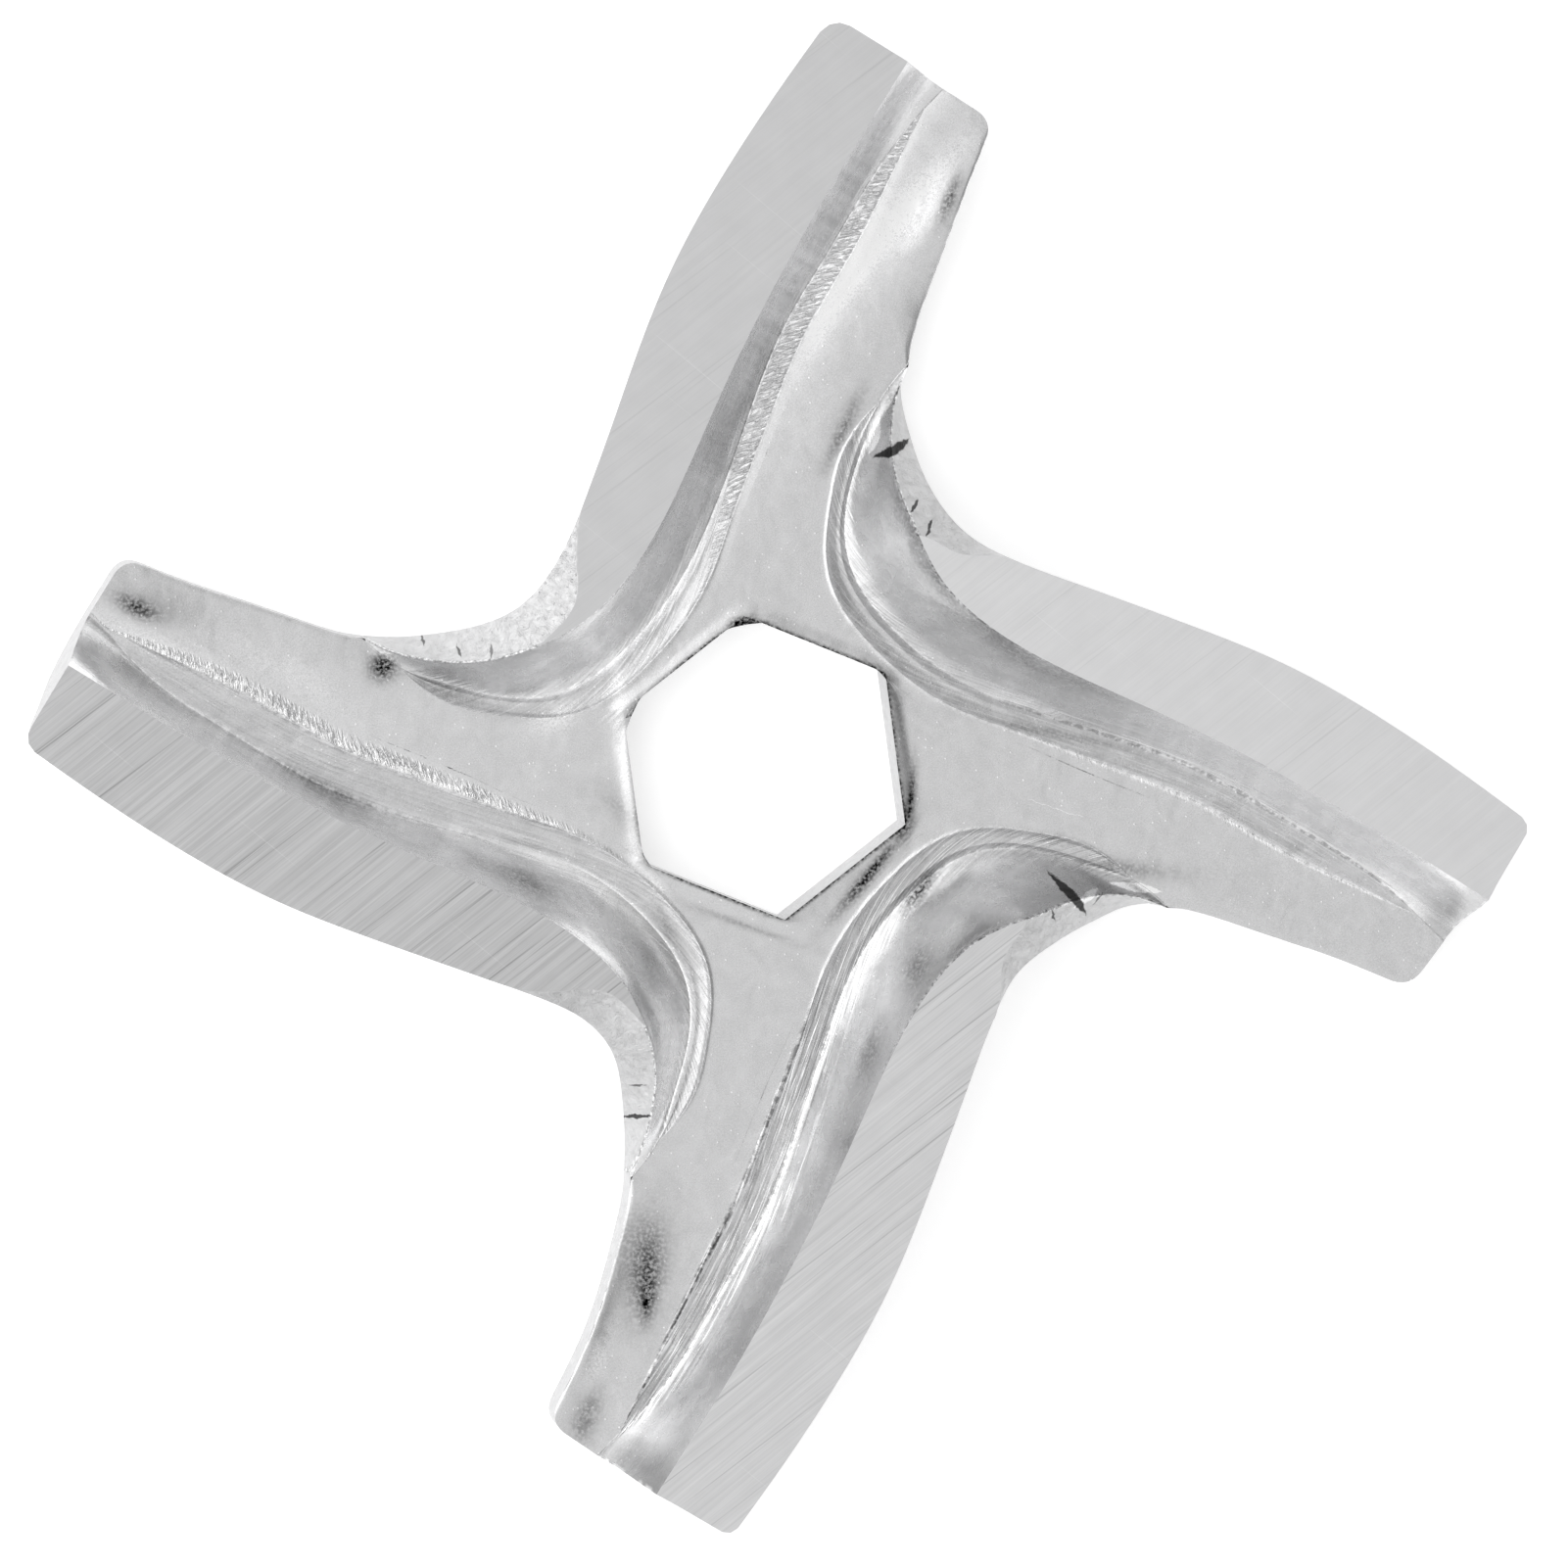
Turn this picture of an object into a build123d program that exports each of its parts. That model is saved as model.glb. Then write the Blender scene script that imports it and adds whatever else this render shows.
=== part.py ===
from build123d import *
import os
from math import cos, radians, sin, tan

# Four-armed meat grinder knife, pressed from one sheet and ground flat: a flat
# cross with a hexagon drive hole. The leading side of every arm is pressed up into
# a wing that runs on round the crotch, and the wings are ground off to one plane.
# Z is the drive axis, z = 0 the underside of the hub, the ground faces look to +Z.

# driving sizes, millimetres and degrees
TIP_CIRCLE = 47.4  # circle swept by the four tips
SHEET = 1.5  # thickness of the sheet
FACE_RISE = 2.8  # ground faces above the upper face of the hub
LAND = 3.1  # widest ground face, in plan
FLANK = 1.05  # wing's inner side at the middle of an arm, in plan
STEP_DROP = 0.3  # foot of the wings below the upper face of the hub
STEP_WIDTH = 0.9  # sloping step between the two, in plan
EDGE_ANGLE = 30.0  # underside of the cutting edge against the ground face
HEX_ACROSS_FLATS = 8.4  # drive hole
HEX_TURN = 8.0  # direction of its first flat from +X
END_ANGLE = 31.0  # slope of an arm's end
TIP_CORNER = 0.9  # corner radius at the cutting edge
HEEL_CORNER = 0.6  # corner radius at the back of an arm's end
ARMS = 4

RADIUS = TIP_CIRCLE / 2
FLOOR = SHEET - STEP_DROP
FACE = SHEET + FACE_RISE
BURIED = 0.6  # how far a wing runs on inside the flat cross
SPARE = 0.4  # material left past the surfaces that trim it

# Sections of one wing, from past the +Y arm's tip round the crotch on its left.
# Where the sheet is ground: its edge in plan (parts of RADIUS), the way into the
# sheet (degrees), land (parts of LAND), flank (FLANK), step (STEP_WIDTH), and how
# far the foot has climbed the step.
GROUND = [
    (0.088, 1.042, -36, 0.87, 1.35, 0.55, 0.5),
    (0.000, 0.921, -35, 0.95, 1.33, 0.75, 0.3),
    (-0.082, 0.797, -31, 1.00, 1.08, 1.00, 0.0),
    (-0.153, 0.667, -25, 1.00, 1.00, 1.05, 0.0),
    (-0.208, 0.530, -20, 0.93, 1.25, 1.00, 0.0),
    (-0.258, 0.392, -19, 0.85, 1.60, 0.85, 0.0),
]
# Where its sheared edge shows: edge and way in as above, foot from the edge (parts
# of FLANK), step, climb, height of the lower corner (parts of FACE), tilt of the
# sheet (degrees), fullness of the bend's shoulder, length of the flare.
SHEARED = [
    (-0.293, 0.300, -26, 3.83, 0.95, 0.0, 0.94, 42, 0.70, 0.42),
    (-0.317, 0.257, -39, 3.48, 0.95, 0.0, 0.83, 44, 0.80, 0.33),
    (-0.352, 0.223, -56, 3.10, 0.90, 0.0, 0.76, 46, 0.40, 0.26),
    (-0.396, 0.202, -71, 2.31, 0.70, 0.0, 0.50, 45, 0.25, 0.26),
    (-0.443, 0.191, -80, 1.53, 0.70, 0.1, 0.29, 35, 0.25, 0.26),
    (-0.491, 0.184, -86, 0.86, 0.65, 0.3, 0.10, 18, 0.25, 0.26),
    (-0.535, 0.177, -94, 0.90, 0.50, 0.6, 0.02, 24, 0.25, 0.26),
]

# The arm's back edge, and where the flat cross runs wide of it, parts of RADIUS.
BACK_EDGE = [(0.1855, 0.489), (0.184, 0.539), (0.193, 0.588), (0.224, 0.681), (0.256, 0.774), (0.292, 0.862)]
WIDE = [(0.288, 1.051), (0.397, 0.992), (0.297, 0.535)]
END_REACH = 0.899  # the arm's end from the axis, parts of RADIUS
CLEAR_ANGLE = 9.0  # the trim leans this far off the cutting edge


def ground_section(x, y, way, land, flank, step, climb):
    """Edge point, way in, foot, plateau line, upper and lower corner, foot height."""
    land = land * LAND
    foot = land + flank * FLANK
    upper = (land - 0.15, FACE + SPARE)
    lower = (-SPARE, FACE + SPARE * tan(radians(EDGE_ANGLE)))
    return x, y, way, foot, step, climb, upper, lower, EDGE_ANGLE, 0.25, 0.5


def sheared_section(x, y, way, foot, step, climb, height, tilt, shoulder, flare):
    lower = (0.0, height * FACE)
    upper = (SHEET * sin(radians(tilt)), lower[1] + SHEET * cos(radians(tilt)))
    return x, y, way, foot * FLANK, step, climb, upper, lower, tilt, shoulder, flare


SECTIONS = [ground_section(*row) for row in GROUND]
SECTIONS += [sheared_section(*row) for row in SHEARED]


def placed(x, y, way, distance, height):
    """The point that far into the sheet from the edge of one section."""
    return (
        x * RADIUS + distance * cos(radians(way)),
        y * RADIUS + distance * sin(radians(way)),
        height,
    )


def outline(section):
    """Closed wire round the bent sheet at one section of a wing."""
    x, y, way, foot, step, climb, upper, lower, tilt, shoulder, flare = section
    floor = FLOOR + climb * STEP_DROP
    bend = foot + step * STEP_WIDTH / 3
    inner = foot + step * STEP_WIDTH + BURIED
    run = foot - upper[0]
    reach = flare * lower[1]
    under = -SPARE / 4

    def at(distance, height):
        return placed(x, y, way, distance, height)

    face = Bezier(
        at(bend, floor),
        at(foot - 0.45 * run, floor),
        at(upper[0] + shoulder * run, upper[1] - 0.18 * (upper[1] - floor)),
        at(*upper),
    )
    back = Bezier(
        at(*lower),
        at(lower[0] + reach * cos(radians(tilt)), lower[1] - reach * sin(radians(tilt))),
        at(0.25 * bend, -under),
        at(bend, under),
    )
    return Wire(
        [
            Line(at(inner, floor), at(bend, floor)),
            face,
            Line(at(*upper), at(*lower)),
            back,
            Line(at(bend, under), at(inner, 2 * under)),
            Line(at(inner, 2 * under), at(inner, floor)),
        ]
    )


def turned(point, quarter):
    """A plan point carried round to another arm."""
    a = -radians(360 / ARMS * quarter)
    return (point[0] * cos(a) - point[1] * sin(a), point[0] * sin(a) + point[1] * cos(a))


def cross(share, height):
    """Wire of the flat cross, `share` steps in from the feet of the wings. At the
    arms' ends and backs it runs wide, for the trim to cut."""
    edges = []
    for arm in range(ARMS):
        line = []
        for x, y, way, foot, step, *_ in reversed(SECTIONS[:-1]):
            p = placed(x, y, way, foot + share * step * STEP_WIDTH, 0)
            line.append((*turned(p, arm), height))
        x, y, way, foot, step, *_ = SECTIONS[-2]
        start = turned(placed(x, y, way, foot + share * step * STEP_WIDTH, 0), 1)
        corners = [(x * RADIUS, y * RADIUS) for x, y in WIDE] + [start]
        corners = [(*turned(p, arm), height) for p in corners]
        edges.append(Spline(*line))
        edges += Polyline(line[-1], *corners).edges()
    return Wire(edges)


def trim():
    """Prism to cut away past the +Y arm's end and back edge, corners rounded."""
    lead = Vector(*GROUND[0][:2]) - Vector(*GROUND[1][:2])
    along = Vector(1, 0).rotate(Axis.Z, -END_ANGLE)
    across = Vector(0, 1).rotate(Axis.Z, -END_ANGLE)
    root = Vector(*GROUND[1][:2]) * RADIUS
    tip = root + lead * ((END_REACH * RADIUS - root.dot(across)) / lead.dot(across))
    back = [Vector(x, y) * RADIUS for x, y in BACK_EDGE]
    heel = tip + along * (back[-1] - tip).dot(along)
    edge = Spline(*back[:-1], heel)
    lean = Vector(-lead.X, -lead.Y).rotate(Axis.Z, -CLEAR_ANGLE)
    aside = tip + lean.normalized() * RADIUS / 2
    low = Vector(aside.X - RADIUS / 8, back[0].Y)
    kept = Face(Wire([edge, *Polyline(heel, tip, aside, low, back[0]).edges()]))
    kept = kept.fillet_2d(TIP_CORNER, [kept.vertices().sort_by_distance(tip)[0]])
    kept = kept.fillet_2d(HEEL_CORNER, [kept.vertices().sort_by_distance(heel)[0]])
    near = (low.X, low.Y)
    far = (0.5 * RADIUS, 1.1 * RADIUS)
    corners = [near, (near[0], far[1]), far, (far[0], near[1])]
    sheet = Face(Wire(Polyline(*corners, close=True).edges())) - kept
    return extrude(sheet, 2 * FACE, both=True)


def knife():
    """The whole knife as one solid."""
    turns = [Rot(0, 0, 360 / ARMS * arm) for arm in range(ARMS)]
    wing = Solid.make_loft([outline(section) for section in SECTIONS])
    flat = Solid.extrude(Face(cross(1, -SPARE)), (0, 0, SHEET + SPARE))
    edge = Solid.make_loft([cross(-1, FLOOR - STEP_DROP), cross(1, SHEET)], ruled=True)
    body = flat + edge
    for turn in turns:
        body = body + turn * wing
    waste = trim()
    for turn in turns:
        body = body - turn * waste
    span = 3 * RADIUS
    above = Box(span, span, FACE, align=(Align.CENTER, Align.CENTER, Align.MIN))
    below = Box(span, span, FACE, align=(Align.CENTER, Align.CENTER, Align.MAX))
    body = body - Pos(0, 0, FACE) * above - below
    flats = RegularPolygon(HEX_ACROSS_FLATS / 2, 6, major_radius=False, rotation=HEX_TURN + 30)
    return body - extrude(flats, 2 * FACE, both=True)


os.makedirs("parts", exist_ok=True)
export_step(knife(), "parts/knife.step")
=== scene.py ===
from math import cos, pi, radians, sin

import bmesh
import bpy
import numpy as np
from bpy.props import FloatProperty, FloatVectorProperty, PointerProperty
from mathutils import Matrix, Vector


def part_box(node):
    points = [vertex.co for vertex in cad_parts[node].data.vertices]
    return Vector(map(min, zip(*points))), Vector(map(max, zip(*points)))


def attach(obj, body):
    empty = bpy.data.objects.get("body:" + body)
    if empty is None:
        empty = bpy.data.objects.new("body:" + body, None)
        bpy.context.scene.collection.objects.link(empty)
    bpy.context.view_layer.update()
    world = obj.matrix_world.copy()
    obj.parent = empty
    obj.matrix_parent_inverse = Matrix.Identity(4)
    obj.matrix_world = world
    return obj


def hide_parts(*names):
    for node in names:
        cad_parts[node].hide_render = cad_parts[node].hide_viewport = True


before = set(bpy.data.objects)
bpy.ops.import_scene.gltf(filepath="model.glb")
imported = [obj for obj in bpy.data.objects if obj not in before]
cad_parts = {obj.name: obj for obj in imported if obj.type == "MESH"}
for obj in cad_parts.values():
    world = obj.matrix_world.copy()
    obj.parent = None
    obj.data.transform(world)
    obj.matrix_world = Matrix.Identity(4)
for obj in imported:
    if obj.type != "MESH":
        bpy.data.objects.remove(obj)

bl_info = {
    "name": "Pressed Grinder Knife",
    "version": (1, 0, 0),
    "blender": (4, 5, 0),
    "location": "View3D > Sidebar > Knife",
    "description": "Four-armed grinder knife pressed from one sheet and ground flat",
    "category": "Add Mesh",
}

MM = 0.001
_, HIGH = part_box("knife")
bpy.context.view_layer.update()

# ---------------------------------------------------------------- shape tables

# Sections of one wing, from past the +Y arm's tip round the crotch on its left to
# where it has run out. Each gives, in this order: the edge in plan (x and y, parts of
# the tip radius) and the way into the sheet (degrees); how far from the edge the
# wing's inner side begins and ends (parts of the widest ground face); the step's width
# and how far the foot has climbed it (parts of the step); the heights of the
# edge's lower and upper corners (parts of the ground faces' height, 1 and over where
# they are ground off); the underside's slope at the edge (degrees) and how far it
# holds; how full the inner side's shoulder is; and how far the sheet curls up
# (parts of the sheet's thickness).
SECTIONS = [
    (0.088, 1.042, -36, 0.87, 1.46, -0.55, 1.9, 1.00, 1.25, 30, 0.50, 0.30, 0.75),
    (0.000, 0.921, -35, 0.95, 1.34, 0.62, 0.35, 1.00, 1.25, 30, 0.50, 0.25, 0.38),
    (-0.082, 0.797, -31, 1.00, 1.365, 1.00, 0.0, 1.00, 1.25, 30, 0.50, 0.22, 0.12),
    (-0.153, 0.667, -25, 1.00, 1.34, 1.05, 0.0, 1.00, 1.25, 30, 0.50, 0.20, 0.00),
    (-0.208, 0.530, -20, 0.93, 1.35, 1.00, 0.0, 1.00, 1.25, 30, 0.50, 0.20, 0.00),
    (-0.258, 0.392, -19, 0.84, 1.38, 0.85, 0.0, 1.00, 1.25, 32, 0.50, 0.22, 0.00),
    (-0.293, 0.300, -26, 0.68, 1.30, 0.95, 0.0, 0.94, 1.21, 42, 0.42, 0.28, 0.00),
    (-0.317, 0.257, -39, 0.54, 1.18, 0.95, 0.0, 0.83, 1.08, 44, 0.33, 0.34, 0.00),
    (-0.352, 0.223, -56, 0.40, 1.05, 0.90, 0.0, 0.74, 1.00, 46, 0.26, 0.34, 0.00),
    (-0.396, 0.202, -71, 0.34, 0.785, 0.70, 0.0, 0.50, 0.78, 45, 0.26, 0.30, 0.00),
    (-0.443, 0.191, -80, 0.27, 0.52, 0.72, 0.30, 0.27, 0.55, 35, 0.26, 0.25, 0.00),
    (-0.491, 0.184, -86, 0.15, 0.30, 0.10, 1.00, 0.08, 0.40, 18, 0.26, 0.25, 0.00),
    (-0.540, 0.184, -94, 0.00, 0.00, -0.40, 1.4, 0.00, 0.349, 0, 0.26, 0.25, 0.00),
]
# The arm's back edge from where the wing has run out, parts of the tip radius.
BACK_EDGE = [(0.184, 0.540), (0.193, 0.588), (0.224, 0.681), (0.256, 0.774), (0.292, 0.862)]
END_REACH = (0.891, 0.902, 0.893, 0.885)  # each arm's end from the axis, parts of the radius
TIP_CORNERS = (0.65, 0.42, 0.36, 0.5)  # each arm's corner at the cutting edge, parts of the first

# Where the press left the sheet uneven. Swells: centre, the long axis's direction,
# its half length and half width, and the height. Strays: centre, reach, and how far
# the outline strays there. Millimetres and degrees in the knife's own plan.
SWELLS = [
    (5.6, 17.5, 57, 2.4, 0.8, 0.26),
    (3.1, 13.6, 64, 4.2, 1.5, 0.05),
    (-6.1, -17.3, 74, 2.3, 0.7, 0.24),
    (-19.8, 5.4, -20, 1.6, 0.7, 0.12),
    (-12.6, 4.2, 20, 0.8, 0.6, -0.08),
    (0.8, -13.5, 72, 4.0, 1.1, 0.08),
    (15.5, -4.6, -18, 4.0, 1.0, 0.06),
]
STRAYS = [
    (9.3, -4.9, 2.4, 0.28, -0.28),
    (-11.0, 4.6, 2.5, 0.0, -0.12),
    (-5.4, -16.8, 3.2, 0.30, 0.0),
    (-6.8, 10.5, 3.0, 0.08, 0.0),
]
# Painted reflections, dark and bright patches on the skin that stand in for the studio's
# reflections in it: centre, direction, half length and half width in plan, and how much darker or
# brighter it is.
PAINTED_REFLECTIONS = [
    (5.55, 18.1, 68, 0.85, 0.22, -0.75),
    (2.3, 10.8, 64, 1.3, 0.22, -0.55),
    (3.9, 11.9, 50, 0.5, 0.25, -0.45),
    (4.0, 17.4, 50, 3.0, 0.50, 0.42),
    (2.2, 14.8, 60, 2.2, 0.24, 0.22),
    (-1.65, 10.8, 62, 1.4, 0.5, -0.24),
    (-3.75, -15.7, 84, 1.5, 0.60, -0.62),
    (-4.1, -15.2, 84, 2.0, 0.80, -0.16),
    (-3.75, -16.8, 80, 0.6, 0.24, -0.45),
    (-4.9, -14.6, 84, 1.3, 0.5, -0.22),
    (-5.7, -20.3, 70, 0.9, 0.40, -0.60),
    (-5.3, -18.4, 72, 1.8, 0.30, 0.22),
    (-12.2, 3.4, 96, 0.46, 0.42, -0.95),
    (-19.9, 5.3, -25, 0.85, 0.33, -0.85),
    (-10.1, 2.7, -25, 1.7, 0.30, -0.32),
    (-6.8, 1.7, 20, 0.8, 0.40, 0.30),
    (-4.6, -1.2, -40, 1.0, 0.35, -0.28),
    (-3.2, -4.6, -75, 1.0, 0.35, -0.30),
    (-15.2, 3.2, -30, 2.6, 0.6, 0.12),
    (-19.0, 3.9, -30, 2.4, 0.7, 0.16),
    (11.3, -3.1, -8, 1.7, 0.28, -0.40),
    (4.9, -3.75, 50, 0.9, 0.28, -0.80),
    (4.5, -6.0, 60, 0.8, 0.30, -0.50),
    (3.05, -8.7, 70, 1.0, 0.22, -0.42),
    (2.25, -11.4, 72, 0.8, 0.20, -0.30),
    (4.5, 7.3, -64, 2.0, 0.38, -0.48),
    (7.0, 4.3, -37, 2.0, 0.35, -0.38),
    (9.6, 2.95, -24, 1.7, 0.28, -0.34),
    (9.2, 1.15, -12, 2.6, 0.16, -0.35),
    (-7.7, -3.3, -27, 0.9, 0.40, -0.45),
    (-13.8, -0.6, -28, 1.8, 0.30, -0.35),
    (-9.3, -2.6, -30, 1.2, 0.25, -0.25),
    (-4.7, -4.3, -48, 1.0, 0.30, 0.35),
    (-9.8, -1.9, -30, 0.7, 0.35, 0.18),
    (-3.8, -6.1, -70, 0.6, 0.30, -0.35),
    (4.55, -0.9, 85, 1.1, 0.12, -0.95),
    (4.2, 1.6, 100, 1.3, 0.12, -0.40),
    (3.2, -3.3, 50, 1.6, 0.19, -0.95),
    (-3.25, -4.0, -57, 1.3, 0.20, 0.50),
    (-0.8, -4.8, -20, 2.0, 0.10, -0.35),
    (-4.6, 1.4, 98, 2.3, 0.20, 0.40),
]
# Painted crack shade and facet highlights, each a lens: dark ones are painted shade in cracks
# that are not cut into the mesh, bright ones painted highlights on torn facets: centre, direction,
# half length and half width in plan, and how much darker or brighter.
CRACK_SHADE_AND_FACET_HIGHLIGHTS = [
    (3.85, 10.22, 24, 0.70, 0.16, -0.95),
    (3.29, 10.60, 76, 0.62, 0.15, 0.60),
    (11.8, -3.72, -10, 0.9, 0.15, 0.60),
    (4.23, 8.52, 50, 0.26, 0.055, -0.85),
    (4.64, 7.83, 58, 0.32, 0.06, -0.85),
    (9.5, -3.85, -48, 0.95, 0.17, -0.95),
    (10.0, -3.95, 30, 0.55, 0.16, 0.45),
    (8.75, -4.35, -66, 0.26, 0.045, -0.80),
    (10.45, -4.0, 55, 0.30, 0.04, -0.70),
    (-4.12, -10.85, 14, 0.42, 0.08, -0.90),
    (-4.2, -9.75, 8, 0.30, 0.035, -0.70),
    (-10.9, 4.2, 92, 0.20, 0.04, -0.70),
    (-9.9, 3.95, 100, 0.22, 0.04, -0.70),
    (-9.0, 4.0, 85, 0.25, 0.05, -0.60),
    (9.2, -1.2, -18, 1.1, 0.012, 0.30),
]
SWELL = 0.022  # of the pressed faces, millimetres
TEAR = 0.035  # of the sheared faces, millimetres
RIM_WIDTH = 0.5  # of the lip round the hexagon, millimetres
RIM_SHADE_WIDTH = 0.16  # width of the painted shade line on it, millimetres
RIM_SHADE_TONE = -0.85  # and how dark it is
RIM_SHADE_FADE = (-3.7, -2.9, 0.45)  # x where it is faint and where it is full, and how faint: fainter towards -X, the lit side
ROLL_WIDTH = 0.09  # of the rolled edge at the backs of the arms, millimetres
ROLL_DROP = 0.6  # how far that edge drops, parts of its width
PAINTED_LIGHT_HEIGHTS = (0.9, 1.2)  # heights between which the painted reflections and the rim's painted shade set in, millimetres
SOFTBOX = (-0.85, 0.20, 0.50)  # from the knife to the middle of the bright side
FLAG = (0.80, 0.10, 0.60)  # and to the middle of the dark one
CURLS = (0.9, 0.08, 0.2, 0.4)  # how far each arm's end curls up, parts of the first
END_SLANTS = (0.0, 0.18, 0.10, 0.0)  # how much longer each arm is behind its ground face, millimetres
BAND_CURVES = (1.0, 2.6, 2.2, 1.0)  # how late each ground face meets the sheared band
# Along each arm's strip, and last along the crotches: how bright the painted line at its foot
# and the painted line at its ridge are (a painted highlight above nought, painted shade below), how
# deep the slanting marks are and where across the step they begin and end, how high the ridge stands,
# how steep the step's shoulder is, how strong the long streaks are, the step's painted shade, the
# painted highlight just past the ridge, and how wide the step is.
STRIPS = [
    (-0.70, -0.35, 0.6, 0.05, 1.05, 0.0, 0.12, 0.15, 0.88, 0.38, 0.70),
    (-0.80, 0.50, 0.2, 0.95, 1.25, 0.3, 0.10, 0.30, 0.97, 0.00, 1.00),
    (1.00, -0.85, 0.15, 0.95, 1.25, 0.0, 0.40, 1.00, 0.95, 0.00, 1.10),
    (-0.40, 0.90, 1.0, 0.96, 1.42, 0.8, 0.05, 0.15, 0.94, 0.12, 1.45),
    (0.30, 0.15, 0.0, 1.00, 1.25, 0.7, 0.10, 0.30, 0.95, 0.00, 1.00),
]
STRIP_KEYS = (
    "foot_line", "ridge_line", "hatch", "hatch_at", "hatch_end", "ridge", "shoulder",
    "streaks", "step_painted_shade", "ridge_painted_glow", "width",
)
DRAWN_KEYS = ("foot_line", "ridge_line", "hatch", "hatch_at", "hatch_end", "streaks")
PAINTED_GLOW_REACH = 0.6  # how far past the ridge the painted highlight reaches, millimetres
# Painted light and shade of each wing's inner side, standing in for its reflections: its brightness
# at five places from the tip to the run-out, how much darker it is painted beside the ground face,
# and its painted brightness at the arm's end.
FLANK_PLACES = (0.1, 0.3, 0.5, 0.7, 0.9)
FLANK_PAINTED_LIGHT = [
    (1.20, 1.30, 1.22, 1.15, 1.20),
    (1.30, 1.38, 1.25, 1.02, 0.84),
    (0.94, 0.95, 1.00, 0.88, 0.88),
    (1.39, 1.38, 1.28, 1.28, 1.39),
]
FLANK_PAINTED_SHADES = (0.05, 0.0, 0.36, 0.0)
END_PAINTED_SHADES = (0.90, 0.60, 0.60, 0.90)
MARGIN = 0.5  # of the step's width, drawn on the level side of its ridge

HEXAGON_SHIFT = (-0.13, 0.15)  # the punch struck this far off the axis, millimetres
SCRATCHING = (0.35, 0.40, 0.9, 1.0)  # how deep each arm's grinding scratches are
ARM_PAINTED_REFLECTIONS = (0.95, 1.09, 1.0, 0.82)  # painted reflection: brightness of each arm's ground face
GRINDING_WAY = radians(38)  # direction of the grinding scratches from +X

ARMS = 4
QUARTER = 2 * pi / ARMS
END_ANGLE = radians(31)  # slope of an arm's end

# Rows of the mesh along a wing, the columns of each stretch of its section, and the
# column at which each stretch begins.
BACK_ROWS = 52
CROTCH_ROWS = 110
ARM_ROWS = BACK_ROWS + CROTCH_ROWS
STRETCHES = {"back": 8, "edge": 8, "land": 7, "flank": 16, "step": 17}
FIRST_COLUMN = dict(zip(STRETCHES, np.cumsum([0, *STRETCHES.values()])))
COLUMNS = sum(STRETCHES.values())
LAND_CROWDING = 1.7  # the ground face's columns crowd towards the edge
STEP_PLACES = (
    0, 0.09, 0.18, 0.26, 0.34, 0.43, 0.54, 0.66, 0.78,
    0.87, 0.93, 0.97, 1.0, 1.04, 1.09, 1.16, 1.27, 1.5,
)
PLATEAU_SHARES = np.append(np.linspace(0, 0.95, 15), [0.975, 0.99, 1])
HEEL_STEPS = 6  # of each half of the heel's round corner
HUB_RINGS = 9
RING_CROWDING = 1.3  # the rings crowd towards the hexagon
HUB_SECTION = 7  # the section whose plateau line comes nearest to the axis
BACK_POINTS = 200  # of a back edge, drawn finely
ROLL_FIRST, ROLL_POINTS = 0.25, 160  # where its rolled stretch begins, and its points
TIP_SPAN = 0.3  # the arm's end lies within this share of the wing
LEVEL = 0.002  # a ground face may lie this far below its plane, millimetres
CORNER_CATCH = 0.6  # parts of their spacing from which points move onto a corner
FLOW_COLUMN = -12  # along which the flow lines' length is measured
FLOW_APART = 100  # millimetres between the flow lines of two arms, so that none repeat
WELD = 0.0004  # points closer than this become one, millimetres
SPECK = 0.0002  # and faces smaller than this go
CREASE = radians(32)  # edges sharper than this stay sharp

FLOOR_HALF = 1.5  # half the floor's width, metres
FLOOR_DROP = 0.02  # of the floor below the knife, millimetres
FLOOR_GLOW = 0.43  # of the floor where it is looked at
SOFTBOX_REACH = (0.46, 0.92)  # cosines at which the bright side begins and is full
FLAG_REACH = (0.76, 0.95)
BASE_LIGHT, SOFTBOX_LIGHT, FLAG_SHADE = 0.83, 0.95, 0.52
SENSOR = 36  # millimetres
CAMERA_SHIFT = (0.00125, -0.0022)
CAMERA_CLIP = (0.01, 10)  # metres


# Kinds of property: a length in metres, an angle, a fraction and a colour.


def length(name, description, default):
    return FloatProperty(name=name, description=description, default=default, unit="LENGTH")


def angle(name, description, degrees):
    default = radians(degrees)
    return FloatProperty(name=name, description=description, default=default, subtype="ANGLE")


def fraction(name, description, default):
    return FloatProperty(name=name, description=description, default=default, min=0, max=1)


def colour(name, description, default):
    look = {"subtype": "COLOR", "size": 3}
    return FloatVectorProperty(name=name, description=description, default=default, **look)


class KnifeSizes(bpy.types.PropertyGroup):
    tip_radius: length("Tip radius", "Circle swept by the tips, halved", HIGH.x)
    face_height: length("Ground face height", "Ground faces above the underside", HIGH.z)
    sheet: length("Sheet", "Thickness of the sheet", 1.5 * MM)
    land: length("Ground face", "Widest ground face, in plan", 3.1 * MM)
    step_drop: length("Step drop", "Foot of the wings below the hub's upper face", 0.2 * MM)
    step_width: length("Step width", "Sloping step beside the foot, in plan", 0.9 * MM)
    hexagon: length("Hexagon", "Drive hole across flats", 8.4 * MM)
    hexagon_turn: angle("Hexagon turn", "Direction of the first flat", 8)
    tip_corner: length("Tip corner", "Corner radius at the cutting edge", 1.0 * MM)
    bead: length("Bead", "Height of the fine ridges in the step", 0.045 * MM)
    heel_corner: length("Heel corner", "Corner radius at the back", 0.7 * MM)
    heel_rise: length("Heel rise", "How far the back of an arm's end curls up", 0.6 * MM)
    blunting: length("Blunting", "Flat left on the cutting edge", 0.03 * MM)
    rim_rise: length("Rim rise", "Lip that the punch left round the hexagon", 0.09 * MM)


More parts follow.
